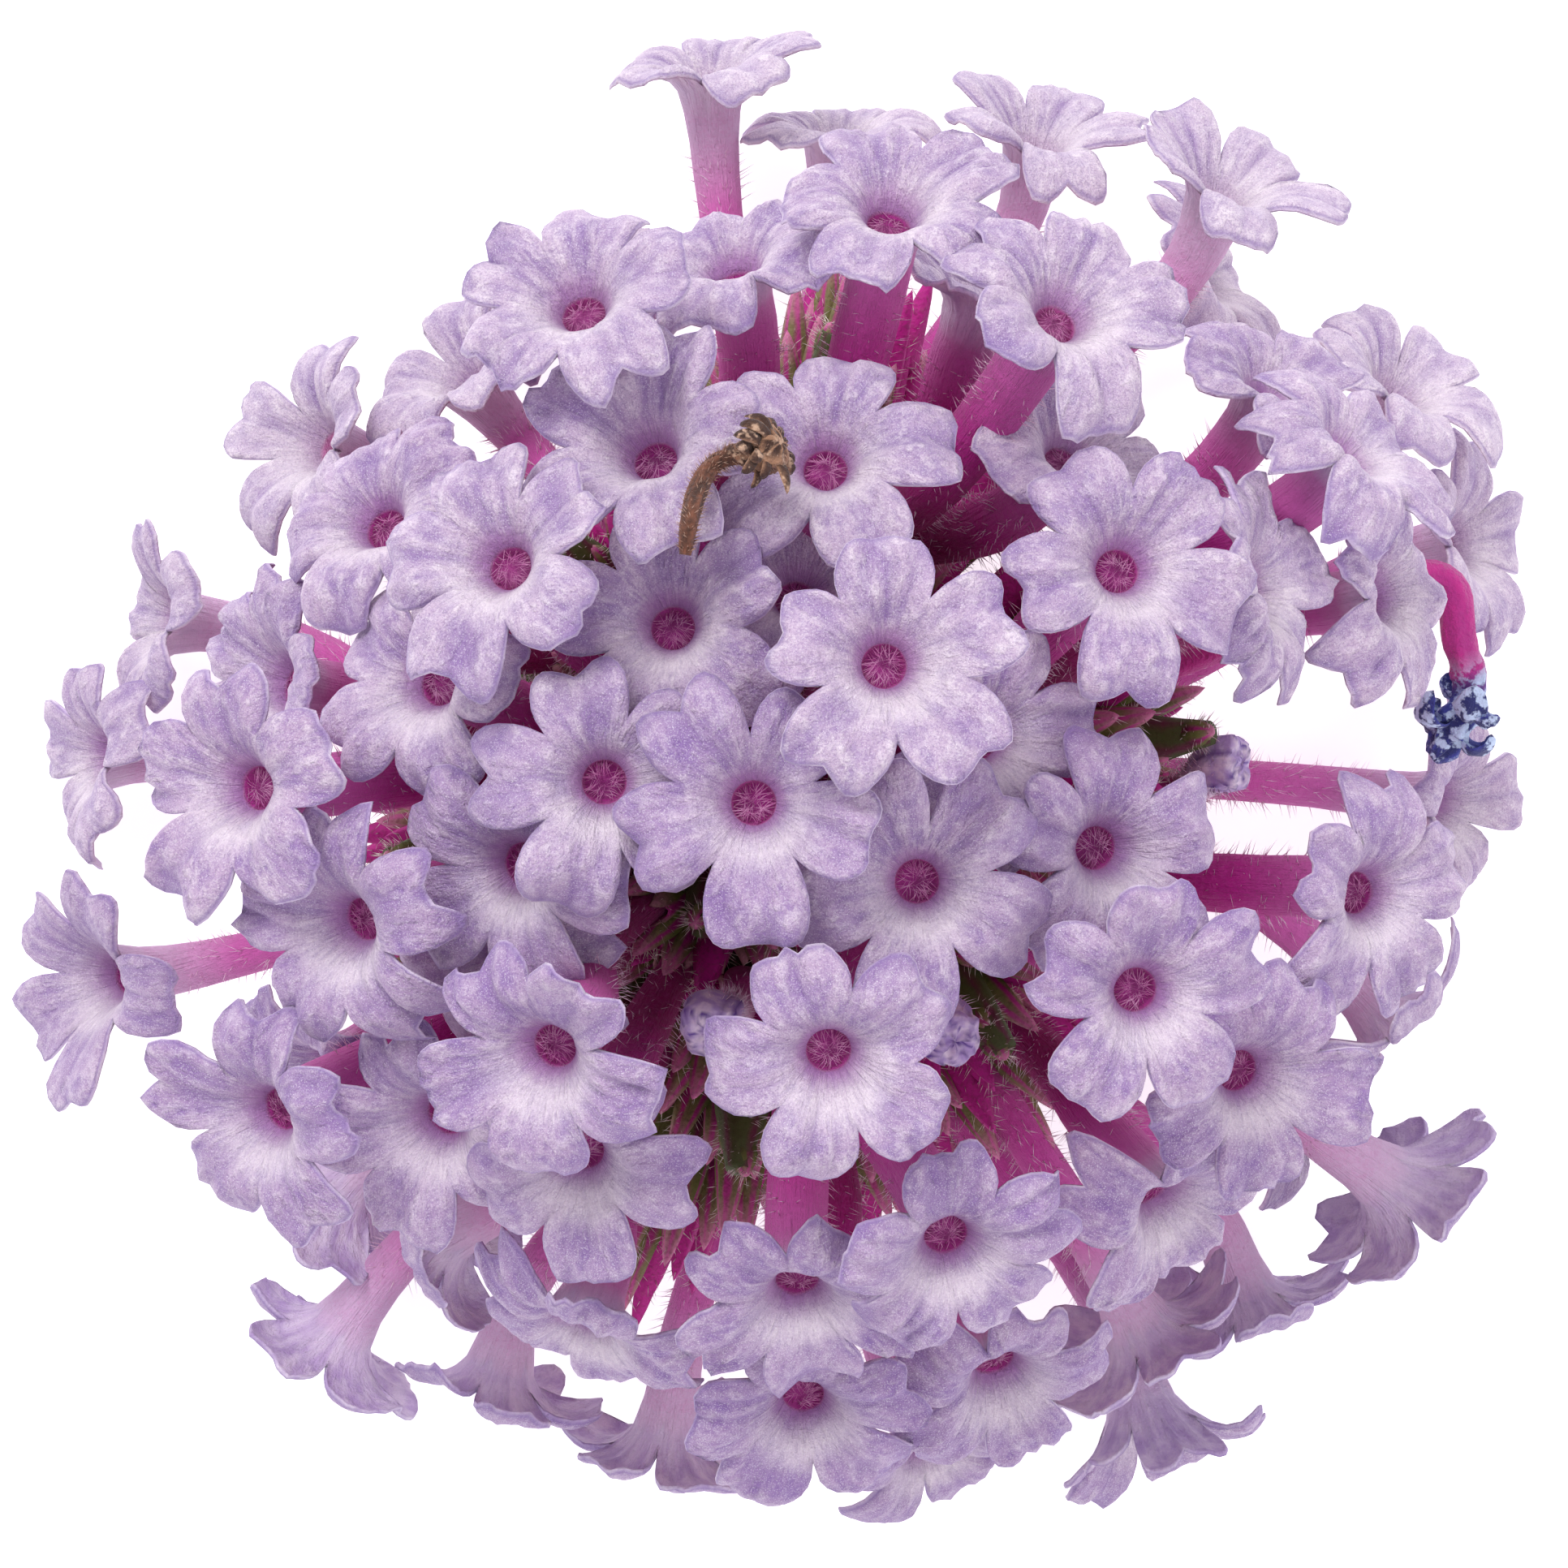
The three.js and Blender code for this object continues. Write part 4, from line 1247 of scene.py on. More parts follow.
    def spot(self, column: int, row: int) -> Spot:
        """The surface at a column and a row."""
        petal, angle = self.columns[column]
        zone, share = self.ROWS[row]
        turn = math.radians(petal * 360 / PETALS + angle)
        if zone is Zone.TUBE:
            return self.tube_spot(turn, share, row)
        if zone is Zone.PIT:
            return self.pit_spot(petal, angle, turn, share)
        edge = self.reach(petal, angle)
        if zone is Zone.UNDER:
            radius = lerp(self.tube_top, edge * 0.985, share)
            near = math.exp(-(radius - self.tube_top) / 0.3)
            below = self.petal_thickness + (self.tube_depth - self.petal_thickness) * near
        elif zone is Zone.EDGE:
            radius = edge * (1.0 if share == 0.5 else 0.99)
            below = self.petal_thickness * share
        else:
            radius = lerp(self.throat_radius, edge * 0.975, share)
            below = 0.0
        spread = (radius - self.throat_radius) / max(edge - self.throat_radius, 0.1)
        relief = self.relief(petal, angle, radius, spread)
        place = self.on_limb(petal, angle, radius, self.height(petal, angle, radius) + relief - below)
        place.z = max(0.0, place.z)

        upper = 1.0 if zone is Zone.UPPER or share == 0.0 else 0.0
        to_edge = (edge - radius) if zone is Zone.UPPER else 0.0
        # Painted shade along the petal's rolled margin, fading inward from the edge.
        edge_shade = math.exp(-to_edge / self.edge_shade_width) * ease(0.2, 0.9, spread)
        lip = math.cos(turn - self.lip_turn())
        between = ease(24, 36, abs(angle)) * (lip < 0)
        # The halo is the petals' own white eye, brightest on the lower lip; its even base share also lightens the
        # funnel's shade, which is painted light.
        halo = bell(radius - self.halo_radius, self.halo_width) * (0.34 + 0.44 * lip) * (1 - 0.5 * between)
        blush = bell(radius - self.throat_radius, 0.24 - 0.07 * lip) * 0.8
        # fold is painted violet shade where the relief dips into furrows and dimples, with the soft violet veins
        # added; it takes paleness away and adds blue.
        fold = clamp(-1.5 * (relief + 0.14 * spread**7)) * 1.8
        fold = clamp(fold + self.vein(petal, angle, radius, spread) * (0.7 - 0.35 * lip))
        pale, blue, seed = self.tint
        tint = (pale * (1 - 0.5 * fold), clamp(blue + fold), seed)
        mask = (clamp(halo), edge_shade, blush if upper else 0.0)
        return Spot(place, turn, radius / LIMB_RADIUS, mask, (upper, 0, 0), tint)

    def vein(self, petal: int, angle: float, radius: float, share: float) -> float:
        """How much of a soft violet vein shows at a place of a petal."""
        wander = 5 * rough(radius * 0.9, petal * 4.1, self.plan.number * 2.3)
        middle = bell(angle - wander, 4.5)
        sides = bell(abs(angle + wander) - 17, 4)
        return (middle + 0.6 * sides) * ease(0.08, 0.25, share) * (1 - ease(0.45, 0.85, share))

    def lip_turn(self) -> float:
        """The turn of the limb's lower lip, where its halo is brightest."""
        return math.atan2(self.LIP_WAY.dot(self.plan.side), self.LIP_WAY.dot(self.plan.petal))

    def girth(self, station: float) -> float:
        """The tube's radius. Those that stand up are stouter than those that lean out."""
        stout = self.stoutness * math.sin(math.pi * clamp(station)) ** 0.7
        return interpolate(self.TUBE_RADII, max(station, 0)) * (1 + stout)

    def tube_spot(self, turn: float, station: float, row: int) -> Spot:
        """The tube's surface."""
        radius = 0.0 if row == 0 else self.girth(station)
        radius *= 1 + 0.05 * rough(station * 6, math.cos(turn), math.sin(turn) + self.plan.number)
        place, _ = self.line.round(max(station, 0), turn, radius)
        if station < 0:
            place += self.plan.calyx_axis * (station * 10)
        # A floret that leans out gets a paler tube: painted light of the bright rim.
        tint = (self.back, 0, self.tint[2])
        return Spot(place, turn, clamp(station) - self.TUBE_SHIFT, zone=(0, 1, 0), tint=tint)

    def pit_spot(self, petal: int, angle: float, turn: float, share: float) -> Spot:
        """The throat's wall and bottom."""
        radius = self.throat_radius * (0.0 if share == 1.0 else 1 - 0.25 * share)
        height = -self.PIT_DEPTH * min(share * 1.3, 1.0)
        place = self.on_limb(petal, angle, radius, height)
        return Spot(place, turn, zone=(1, 0, 1), tint=self.tint)

    def build(self, material: bpy.types.Material, node: str) -> bpy.types.Object:
        """Makes the corolla's piece in place of its solid."""
        form = Wrapping(f"corolla_{self.plan.number:02d}")
        form.wrap(len(self.columns), len(self.ROWS) - 1, self.spot)
        return form.piece(material, "petal", [node])

    def grow_hairs(self, throat: HairField, tube: HairField) -> None:
        """Adds the brush in the throat and the down on the tube."""
        number = self.plan.number
        plan = self.plan
        for k in range(self.brush):
            turn = 2 * math.pi * draw(number, Trait.BRUSH_TURN + k)
            depth = 0.06 + 0.34 * draw(number, Trait.BRUSH_DEPTH + k)
            out = plan.petal * math.cos(turn) + plan.side * math.sin(turn)
            root = plan.throat + out * (self.throat_radius * 0.98) - plan.facing * depth
            aside = plan.facing.cross(out) * (0.9 * (draw(number, Trait.BRUSH_ASIDE + k) - 0.5))
            aim = (-out + plan.facing * (0.15 + depth * 1.1) + aside).normalized()
            throat.grow(root, aim, 0.4 + 0.36 * draw(number, Trait.BRUSH_LENGTH + k), self.hair)
        down = Coat(300, (0.02, 0.86), (0.3, 0.38), upright=(0.6, 0.6), aside=1.1, thickness=self.hair)
        down.grow(tube, self.line, self.girth)


# ---------- furled and withered corollas ----------


@dataclass
class FurledCorolla:
    """A corolla that is still furled: a tube with a square, folded head."""

    plan: Corolla
    columns: int = 32
    RADII = ((0.0, 0.5), (0.3, 0.55), (0.55, 0.62), (0.75, 0.74), (0.9, 0.86), (0.97, 0.78), (1.0, 0.6))
    ROWS = (0.0, 0.001, 0.12, 0.25, 0.38, 0.5, 0.6, 0.7, 0.78, 0.85, 0.91, 0.96)
    CROWN = (
        *((0.84, 0.1), (0.78, 0.2), (0.68, 0.28), (0.56, 0.33), (0.44, 0.35)),
        *((0.32, 0.35), (0.2, 0.32), (0.09, 0.28), (0.0, 0.25)),
    )

    def girth(self, station: float) -> float:
        """The tube's radius."""
        return interpolate(self.RADII, station)

    def spot(self, column: int, row: int) -> Spot:
        """The surface at a column and a row."""
        line = TubeLine(self.plan)
        turn = 2 * math.pi * column / self.columns
        beyond = row - len(self.ROWS)
        station = self.ROWS[row] if beyond < 0 else 1.0
        radius, rise = (self.girth(station), 0.0) if beyond < 0 else self.CROWN[beyond]
        if row == 0:
            radius = 0.0
        head = ease(0.62, 0.8, station)
        crumple = rough(math.cos(turn) * 1.4, math.sin(turn) * 1.4, radius * 3 + self.plan.number)
        swirl = turn + 1.5 * head * (0.9 - radius) + 0.6 * head * crumple
        fold = abs(math.cos(2 * swirl))
        flap = (2 * swirl / math.pi) % 1
        # crease is painted shade along each fold and under the edge of the flap over it.
        crease = head * max(bell(fold, 0.22), 0.7 * ease(0.8, 0.97, flap))
        square = 1 + head * (0.2 * (1 - fold) - 0.04)
        place, _ = line.round(station, turn, radius * square)
        place += self.plan.facing * (rise + head * (0.16 * (flap - 0.5) * min(1, radius * 3) + 0.16 * crumple))
        place += self.plan.outward * 0.05 * noise.noise(place * 2.1)
        return Spot(place, turn, station, (crease, head, 0))

    def build(self, material: bpy.types.Material, node: str) -> bpy.types.Object:
        """Makes the piece in place of its solid."""
        form = Wrapping(f"furled_corolla_{self.plan.number}")
        form.wrap(self.columns, len(self.ROWS) + len(self.CROWN) - 1, self.spot)
        return form.piece(material, "petal", [node])

    def grow_hairs(self, hairs: HairField) -> None:
        """Adds the white hairs of the tube and the head's sides."""
        Coat(260, (0.03, 0.93), (0.26, 0.24), to_base=0.7).grow(hairs, TubeLine(self.plan), self.girth)


@dataclass
class WitheredCorolla:
    """A withered corolla: a thin, bent, wrinkled tube with a crumpled head."""

    plan: Corolla
    colour: str
    finish: WitheredFinish
    columns: int = 28
    rows: int = 56
    crumple: float = 0.42
    lobes: int = 7
    lobe_rows: int = 12
    lobe_columns: int = 14
    stoutness: float = 1.0
    lobe_width: float = 0.4
    lobe_length: float = 1.0
    fuzz: float = 0.22
    RADII = (
        *((0.0, 0.16), (0.04, 0.2), (0.3, 0.27), (0.55, 0.24), (0.66, 0.3)),
        *((0.76, 0.45), (0.86, 0.58), (0.95, 0.45), (1.0, 0.2)),
    )

    def girth(self, station: float) -> float:
        """The radius without its wrinkles."""
        return interpolate(self.RADII, station)

    def spot(self, column: int, row: int) -> Spot:
        """The surface at a column and a row."""
        turn = 2 * math.pi * column / self.columns
        station = clamp((row - 1) / (self.rows - 2))
        ends = row in (0, self.rows)
        head = ease(0.6, 0.75, station)
        radius = 0.0 if ends else self.girth(station) * lerp(self.stoutness, 1, head)
        line = TubeLine(self.plan)
        around = Vector((math.cos(turn), math.sin(turn), 0))
        seed = Vector((0, 0, self.plan.number + station * 9))
        flute = noise.noise(around * (1.6 + head * 1.2) + seed)
        pleat = noise.noise(around * 4.2 + seed * 2.3)
        sink = (flute * 0.8 + pleat * 0.5) * self.crumple * (0.55 + head)
        place, _ = line.round(station, turn, radius * (1 + sink))
        bent = place * 1.6
        place += 0.22 * head * Vector([noise.noise(bent + Vector((0, 0, 7 * k))) for k in range(3)])
        place.z = max(0.0, place.z)
        # The mask's first number is painted shade, deeper where the surface sinks in.
        return Spot(place, turn, station, (clamp(0.4 - sink * 1.6), 0, 0))

    def lobe_spot(self, lobe: int, column: int, row: int) -> Spot:
        """The surface of one dry, curled petal of the head."""
        line = TubeLine(self.plan)
        own = [draw(self.plan.number, Trait.LOBE + lobe * 5 + k) for k in range(5)]
        share = row / self.lobe_rows
        station = 0.72 + 0.2 * own[0]
        axis = line.along(station)
        spin = 2 * math.pi * (lobe + 0.5 * own[1]) / self.lobes
        out = around(axis, self.plan.petal + Vector((0.1, 0.2, 0)), spin)
        start = 0.3 + 0.5 * own[2]
        curl = 1.4 + 2.2 * own[3]
        arc = self.lobe_length * (0.9 + 0.5 * own[4]) / curl
        angle = start + curl * share
        centre = line.at(station) + out * 0.25
        centre += axis * (arc * (math.sin(angle) - math.sin(start)))
        centre += out * (arc * (math.cos(start) - math.cos(angle)))
        across = axis.cross(out)
        normal = out * math.cos(angle) - axis * math.sin(angle)
        turn = 2 * math.pi * column / self.lobe_columns
        inside = 0 < row < self.lobe_rows
        width = self.lobe_width * math.sin(math.pi * min(share, 0.995)) ** 0.55 if inside else 0.0
        gutter = 0.22 * math.cos(turn) ** 2 - 0.1
        wave = 0.16 * rough(share * 3, math.cos(turn) * 1.6, self.plan.number + lobe * 3.7)
        shift = (0.07 * math.sin(turn) + gutter + wave) * width / 0.4
        place = centre + across * (width * math.cos(turn)) + normal * shift
        place.z = max(0.0, place.z)
        # sunk is painted shade in the lobe's gutter and wrinkles and over its underside.
        sunk = clamp(0.3 - 2 * (gutter + wave) + 0.3 * (math.sin(turn) < 0))
        return Spot(place, turn, 0.8 + 0.2 * share, (sunk, 0, 0))

    def build(self) -> bpy.types.Object:
        """Makes the piece in place of its solid."""
        form = Wrapping(f"dry_corolla_{self.colour}")
        form.wrap(self.columns, self.rows, self.spot)
        for lobe in range(self.lobes):
            spot = partial(self.lobe_spot, lobe)
            form.wrap(self.lobe_columns, self.lobe_rows, spot)
        withered = f"withered_{self.colour}"
        return form.piece(self.finish.material(), withered, [withered])

    def grow_hairs(self, hairs: HairField) -> None:
        """Adds dense short hairs."""
        strides = (1.7, 2.3, 1.3)
        lengths = (self.fuzz * 0.6, self.fuzz * 0.6)
        shape = {"forward": 0.4, "aside": 1.0, "sunk": 0.95, "thickness": 0.016}
        coat = Coat(420, (0.02, 0.96), lengths, strides=strides, **shape)
        coat.grow(hairs, TubeLine(self.plan), self.girth)


# ---------- calyces, buds and rachises ----------


BudPlace = tuple[Vector, Vector, float]


@dataclass(frozen=True)
class Bud:
    """A closed bud. A young one shows its magenta tube where the others show their calyx."""

    root: Vector
    tip: Vector
    radius: float
    seed: float
    young: bool

    @property
    def axis(self) -> Vector:
        """The way that it points."""
        return (self.tip - self.root).normalized()


@dataclass
class SpikeBuilder:
    """One spike's rachis, its open calyces, its cone of buds and their bracts."""

    spike: Spike
    index: int
    plan: HeadPlan
    rachis_start: float = 2.9
    rachis_end: float = 0.97
    bud_zone: tuple[float, float] = (0.42, 0.99)
    bud_lengths: tuple[float, float] = (3.4, 1.5)
    bud_leans: tuple[float, float] = (62, 8)
    bud_radius: float = 0.56
    buds: int = 12
    clear: float = 0.3
    crowd: int = 420
    crowd_zone: tuple[float, float] = (0.24, 0.93)
    crowd_spread: tuple[float, float] = (7.4, 2.4)
    crowd_length: float = 7.8
    crowd_room: float = 1.05
    skirt: int = 130
    skirt_fan: float = 36
    skirt_leans: tuple[float, float] = (66, 98)
    skirt_reach: tuple[float, float] = (10.6, 13.4)
    skirt_root: float = 6.0
    skirt_deep: tuple[float, ...] = (-103, 72, 85)
    skirt_from: float = 30
    skirt_clear: float = 0.55
    skirt_extra: float = 3.0
    young_share: float = 0.42
    rachis_columns: int = 16
    rachis_rows: int = 14
    calyx_columns: int = 30
    calyx_hair_count: int = 110
    bud_columns: int = 15
    bud_hair_count: int = 60

    RACHIS = ((0.0, 0.75), (0.35, 1.15), (0.75, 0.9), (0.97, 0.35))
    CALYX_ROWS = (
        *((0.0, 0.0), (0.0, 0.3), (0.15, 0.42), (0.4, 0.55), (0.65, 0.64), (0.85, 0.7)),
        *((0.95, 0.73), (1.0, 0.74), (1.0, 0.68), (0.9, 0.66), (0.7, 0.6), (0.7, 0.0)),
    )
    TEETH = (6, 7, 8)
    MOUTH = 8
    BUD_ROWS = (
        *((0.0, 0.0), (0.0, 0.5), (0.2, 0.8), (0.42, 1.0), (0.6, 0.98)),
        *((0.75, 0.8), (0.86, 0.55), (0.93, 0.36), (0.97, 0.2), (1.0, 0.0)),
    )
    CALYX_HAIRS = ((0, 0.4), (0.4, 0.55), (0.85, 0.7), (1, 0.7))
    BUD_HAIRS = ((0, 0.5), (0.42, 1), (0.75, 0.8), (0.93, 0.36), (1, 0.05))
    TILT = Vector((0.013, 0.007, 0))

    def at(self, distance: float) -> Vector:
        """A point on the spike's axis."""
        return FOCUS + self.spike.axis * distance

    def ribbed(self, turn: float, seed: float) -> float:
        """How much of a rib stands at a turn round a calyx or bud."""
        return 0.5 + 0.5 * math.cos(PETALS * turn + seed * 6.3)

    def calyx_spot(self, corolla: Corolla, column: int, row: int) -> Spot:
        """The surface of an open calyx."""
        share, radius = self.CALYX_ROWS[row]
        turn = 2 * math.pi * column / self.calyx_columns
        axis = corolla.calyx_axis
        rib = self.ribbed(turn, draw(corolla.number, Trait.RIBS))
        length = (corolla.mouth - corolla.root).length
        tooth = 0.62 * (rib**1.6 - 0.35) if row in self.TEETH else 0.0
        radius *= 1 + 0.09 * (rib - 0.5) * (row < self.MOUTH)
        inward = 0.12 * rib if row in self.TEETH[1:] else 0.0
        out = around(axis, self.spike.axis, turn) * max(0.0, radius - inward)
        place = corolla.root + axis * (share * length + tooth) + out
        # The mask's third number puts painted near-black shade inside the mouth.
        mask = (rib, 0.7 * rib * (row in self.TEETH), 1.0 if row > self.MOUTH else 0.0)
        return Spot(place, turn, share, mask)

    def bud_spot(self, bud: Bud, column: int, row: int) -> Spot:
        """The surface of a closed bud, or of a young tube."""
        share, width = self.BUD_ROWS[row]
        turn = 2 * math.pi * column / self.bud_columns
        rib = self.ribbed(turn, bud.seed)
        width *= bud.radius * (1 + 0.22 * (rib - 0.5))
        place = bud.root.lerp(bud.tip, share) + self.out_of(bud, turn) * width
        if bud.young:
            return Spot(place, turn, lerp(0.8, 1, share), (0.1 * rib, 0, 0))
        return Spot(place, turn, share, (rib, ease(0.82, 0.98, share), 0))

    def out_of(self, bud: Bud, turn: float) -> Vector:
        """The direction straight out of a bud at a turn round it."""
        return around(bud.axis, self.spike.axis + self.TILT, turn)

    def meets(self, start: Vector, end: Vector, distance: float) -> bool:
        """True if the line from one point to another comes within a distance of a tube or a limb."""
        probes = [start.lerp(end, share) for share in (0, 0.25, 0.5, 0.75, 1)]
        for corolla, points in self.tubes:
            for probe in probes:
                from_throat = probe - corolla.throat
                height = from_throat.dot(corolla.facing)
                across = (from_throat - corolla.facing * height).length
                if abs(height) < distance + 0.6 and across < corolla.limb_radius + distance:
                    return True
                if any((point - probe).length < distance for point in points):
                    return True
        return False

    def bud_places(self) -> list[BudPlace]:
        """Root, tip and radius of each bud, on a spiral that tightens to the spike's tip."""
        places = []
        side = square_to(self.spike.axis, UP)
        for k in range(self.buds):
            share = k / (self.buds - 1)
            length = lerp(*self.bud_lengths, share)
            radius = self.bud_radius * lerp(1, 0.75, share)
            lean = math.radians(lerp(*self.bud_leans, share) + 8 * (draw(self.index, k) - 0.5))
            turn = Matrix.Rotation(math.radians(GOLDEN_ANGLE * (k + self.index)), 3, self.spike.axis)
            outward = turn @ side
            axis = self.spike.axis * math.cos(lean) + outward * math.sin(lean)
            tip = self.at(self.spike.length * lerp(*self.bud_zone, share)) + outward * (math.sin(lean) * length)
            root = tip + axis * (0.5 - length)
            if not self.meets(root, tip, self.clear + radius + 0.64):
                places.append((tip - axis * length, tip, radius))
        return places

    def crowd_places(self) -> list[BudPlace]:
        """The closed calyces that fill the room between the open ones."""
        candidates = []
        side = square_to(self.spike.axis, UP)
        for k in range(self.crowd):
            share = k / (self.crowd - 1)
            spread = lerp(*self.crowd_spread, share) * (0.8 + 0.2 * draw(Series.CROWD + self.index, k))
            along = self.spike.length * lerp(*self.crowd_zone, share)
            turn = Matrix.Rotation(math.radians(GOLDEN_ANGLE * k + 50 * self.index), 3, self.spike.axis)
            root = self.at(along - math.sqrt(self.crowd_length**2 - spread**2))
            candidates.append((root, self.at(along) + (turn @ side) * spread))
        taken = [*(corolla.mouth for corolla in self.plan.seated), *self.plan.crowded]
        return self.with_room(candidates, taken, self.bud_radius + 0.25)

    def skirt_places(self) -> list[BudPlace]:
        """The closed calyces that spread out below the tubes of a leaning spike."""
        candidates = []
        lean = math.degrees(self.spike.axis.angle(UP))
        bearing = math.degrees(math.atan2(self.spike.axis.y, self.spike.axis.x))
        for k in range(self.skirt if lean > self.skirt_from else 0):
            turn = bearing + self.skirt_fan * (2 * draw(Series.SKIRT_TURN + self.index, k) - 1)
            slope = lerp(*self.skirt_leans, draw(Series.SKIRT_LEAN + self.index, k))
            low = 1.5 * max(0.0, -math.sin(math.radians(turn)))
            low += sum(self.skirt_extra * bell(turn - deep, 9) for deep in self.skirt_deep)
            reach = lerp(*self.skirt_reach, draw(Series.SKIRT_REACH + self.index, k))
            tip = FOCUS + direction(turn, slope) * (reach + low)
            root = FOCUS + direction(lerp(bearing, turn, 0.6), lerp(lean, slope, 0.7)) * self.skirt_root
            candidates.append((root, tip))
        return self.with_room(candidates, list(self.plan.crowded), self.skirt_clear)

    def with_room(
        self, candidates: Iterable[tuple[Vector, Vector]], taken: list[Vector], clear: float
    ) -> list[BudPlace]:
        """Keeps the closed calyces that have room.

        Args:
            candidates: Root and tip of each.
            taken: The places that they keep away from, to which their tips are added.
            clear: How far they stay from tubes and limbs.

        Returns:
            Root, tip and radius of each that is kept.
        """
        places = []
        for root, tip in candidates:
            roomy = all((tip - other).length > self.crowd_room for other in taken)
            if roomy and not self.meets(root.lerp(tip, 0.45), tip, clear):
                places.append((root, tip, self.bud_radius * 1.1))
                taken.append(tip)
        self.plan.crowded.extend(tip for _, tip, _ in places)
        return places

    def rachis_spot(self, column: int, row: int) -> Spot:
        """The surface of the rachis."""
        share = clamp((row - 1) / (self.rachis_rows - 2)) * self.rachis_end
        turn = 2 * math.pi * column / self.rachis_columns
        out = around(self.spike.axis, UP, turn)
        radius = 0.0 if row in (0, self.rachis_rows) else interpolate(self.RACHIS, share)
        radius *= 1 + 0.15 * noise.noise(out * 2 + Vector((0, 0, share * 8 / self.rachis_end)))
        place = self.at(self.rachis_start + share * (self.spike.length - self.rachis_start)) + out * radius
        # The rachis takes the dark maroon of a calyx's root, partly painted shade deep in the head.
        return Spot(place, turn, 0.15, (0.6 + 0.4 * math.cos(4 * turn), 0, 0))

    def build(self, material: bpy.types.Material, node: str, hairs: HairField) -> None:
        """Makes the spike's pieces and their hairs."""
        self.tubes = [
            (corolla, [TubeLine(corolla).at(k / 14) for k in range(15)])
            for corolla in [*self.plan.florets, *self.plan.furled, self.plan.brown, self.plan.blue]
        ]
        rachis = Wrapping(f"rachis_{self.spike.name}")
        rachis.wrap(self.rachis_columns, self.rachis_rows, self.rachis_spot)
        rachis.piece(material, "calyx", [node])
        calyces = Wrapping(f"calyces_{self.spike.name}")
        for corolla in self.plan.seated:
            if corolla.spike is self.spike:
                self.wrap_calyx(calyces, corolla, hairs)
        calyces.piece(material, "calyx", [node])
        cone = Wrapping(f"buds_{self.spike.name}")
        for k, place in enumerate([*self.bud_places(), *self.crowd_places(), *self.skirt_places()]):
            self.wrap_bud(cone, k, place, hairs)
        cone.piece(material, "calyx", [node])

    def wrap_calyx(self, calyces: Wrapping, corolla: Corolla, hairs: HairField) -> None:
        """Adds one open calyx and its hairs.

        Args:
            calyces: The mesh that takes it.
            corolla: The corolla that it holds.
            hairs: The mesh that takes its hairs.
        """
        calyces.wrap(self.calyx_columns, len(self.CALYX_ROWS) - 1, partial(self.calyx_spot, corolla))
        axis, number = corolla.calyx_axis, corolla.number
        for k in range(self.calyx_hair_count):
            out = around(axis, self.spike.axis, 2 * math.pi * draw(number, Trait.CALYX_TURN + k))
            share = 0.25 + 0.8 * draw(number, Trait.CALYX_STATION + k)
            radius = interpolate(self.CALYX_HAIRS, share) * 0.97
            root = corolla.root + axis * (share * self.plan.calyx_length) + out * radius
            aim = (out + axis * (0.2 + 0.7 * draw(number, Trait.CALYX_UPRIGHT + k))).normalized()
            hairs.grow(root, aim, 0.3 + 0.35 * draw(number, Trait.CALYX_LENGTH + k), 0.018)

    def wrap_bud(self, cone: Wrapping, k: int, place: BudPlace, hairs: HairField) -> None:
        """Adds one bud and its hairs.

        Args:
            cone: The mesh that takes it.
            k: Its number among the buds of the spike.
            place: Its root, tip and radius.
            hairs: The mesh that takes its hairs.
        """
        number = Series.BUDS + self.index * Series.BUDS_PER_SPIKE + k
        young = k >= self.buds and draw(number, Trait.BUD_YOUNG) < self.young_share
        bud = Bud(*place, draw(number, Trait.BUD_RIBS), young)
        cone.wrap(self.bud_columns, len(self.BUD_ROWS) - 1, partial(self.bud_spot, bud))
        for hair in range(self.bud_hair_count):
            out = self.out_of(bud, 2 * math.pi * draw(number, Trait.BUD_TURN + hair))
            share = 0.3 + 0.68 * draw(number, Trait.BUD_STATION + hair)
            width = bud.radius * interpolate(self.BUD_HAIRS, share) * 0.95
            aim = (out + bud.axis * (0.3 + 0.8 * draw(number, Trait.BUD_UPRIGHT + hair))).normalized()
            length = 0.25 + 0.3 * draw(number, Trait.BUD_LENGTH + hair)
            hairs.grow(bud.root.lerp(bud.tip, share) + out * width, aim, length, 0.017)


# ---------- the stem ----------


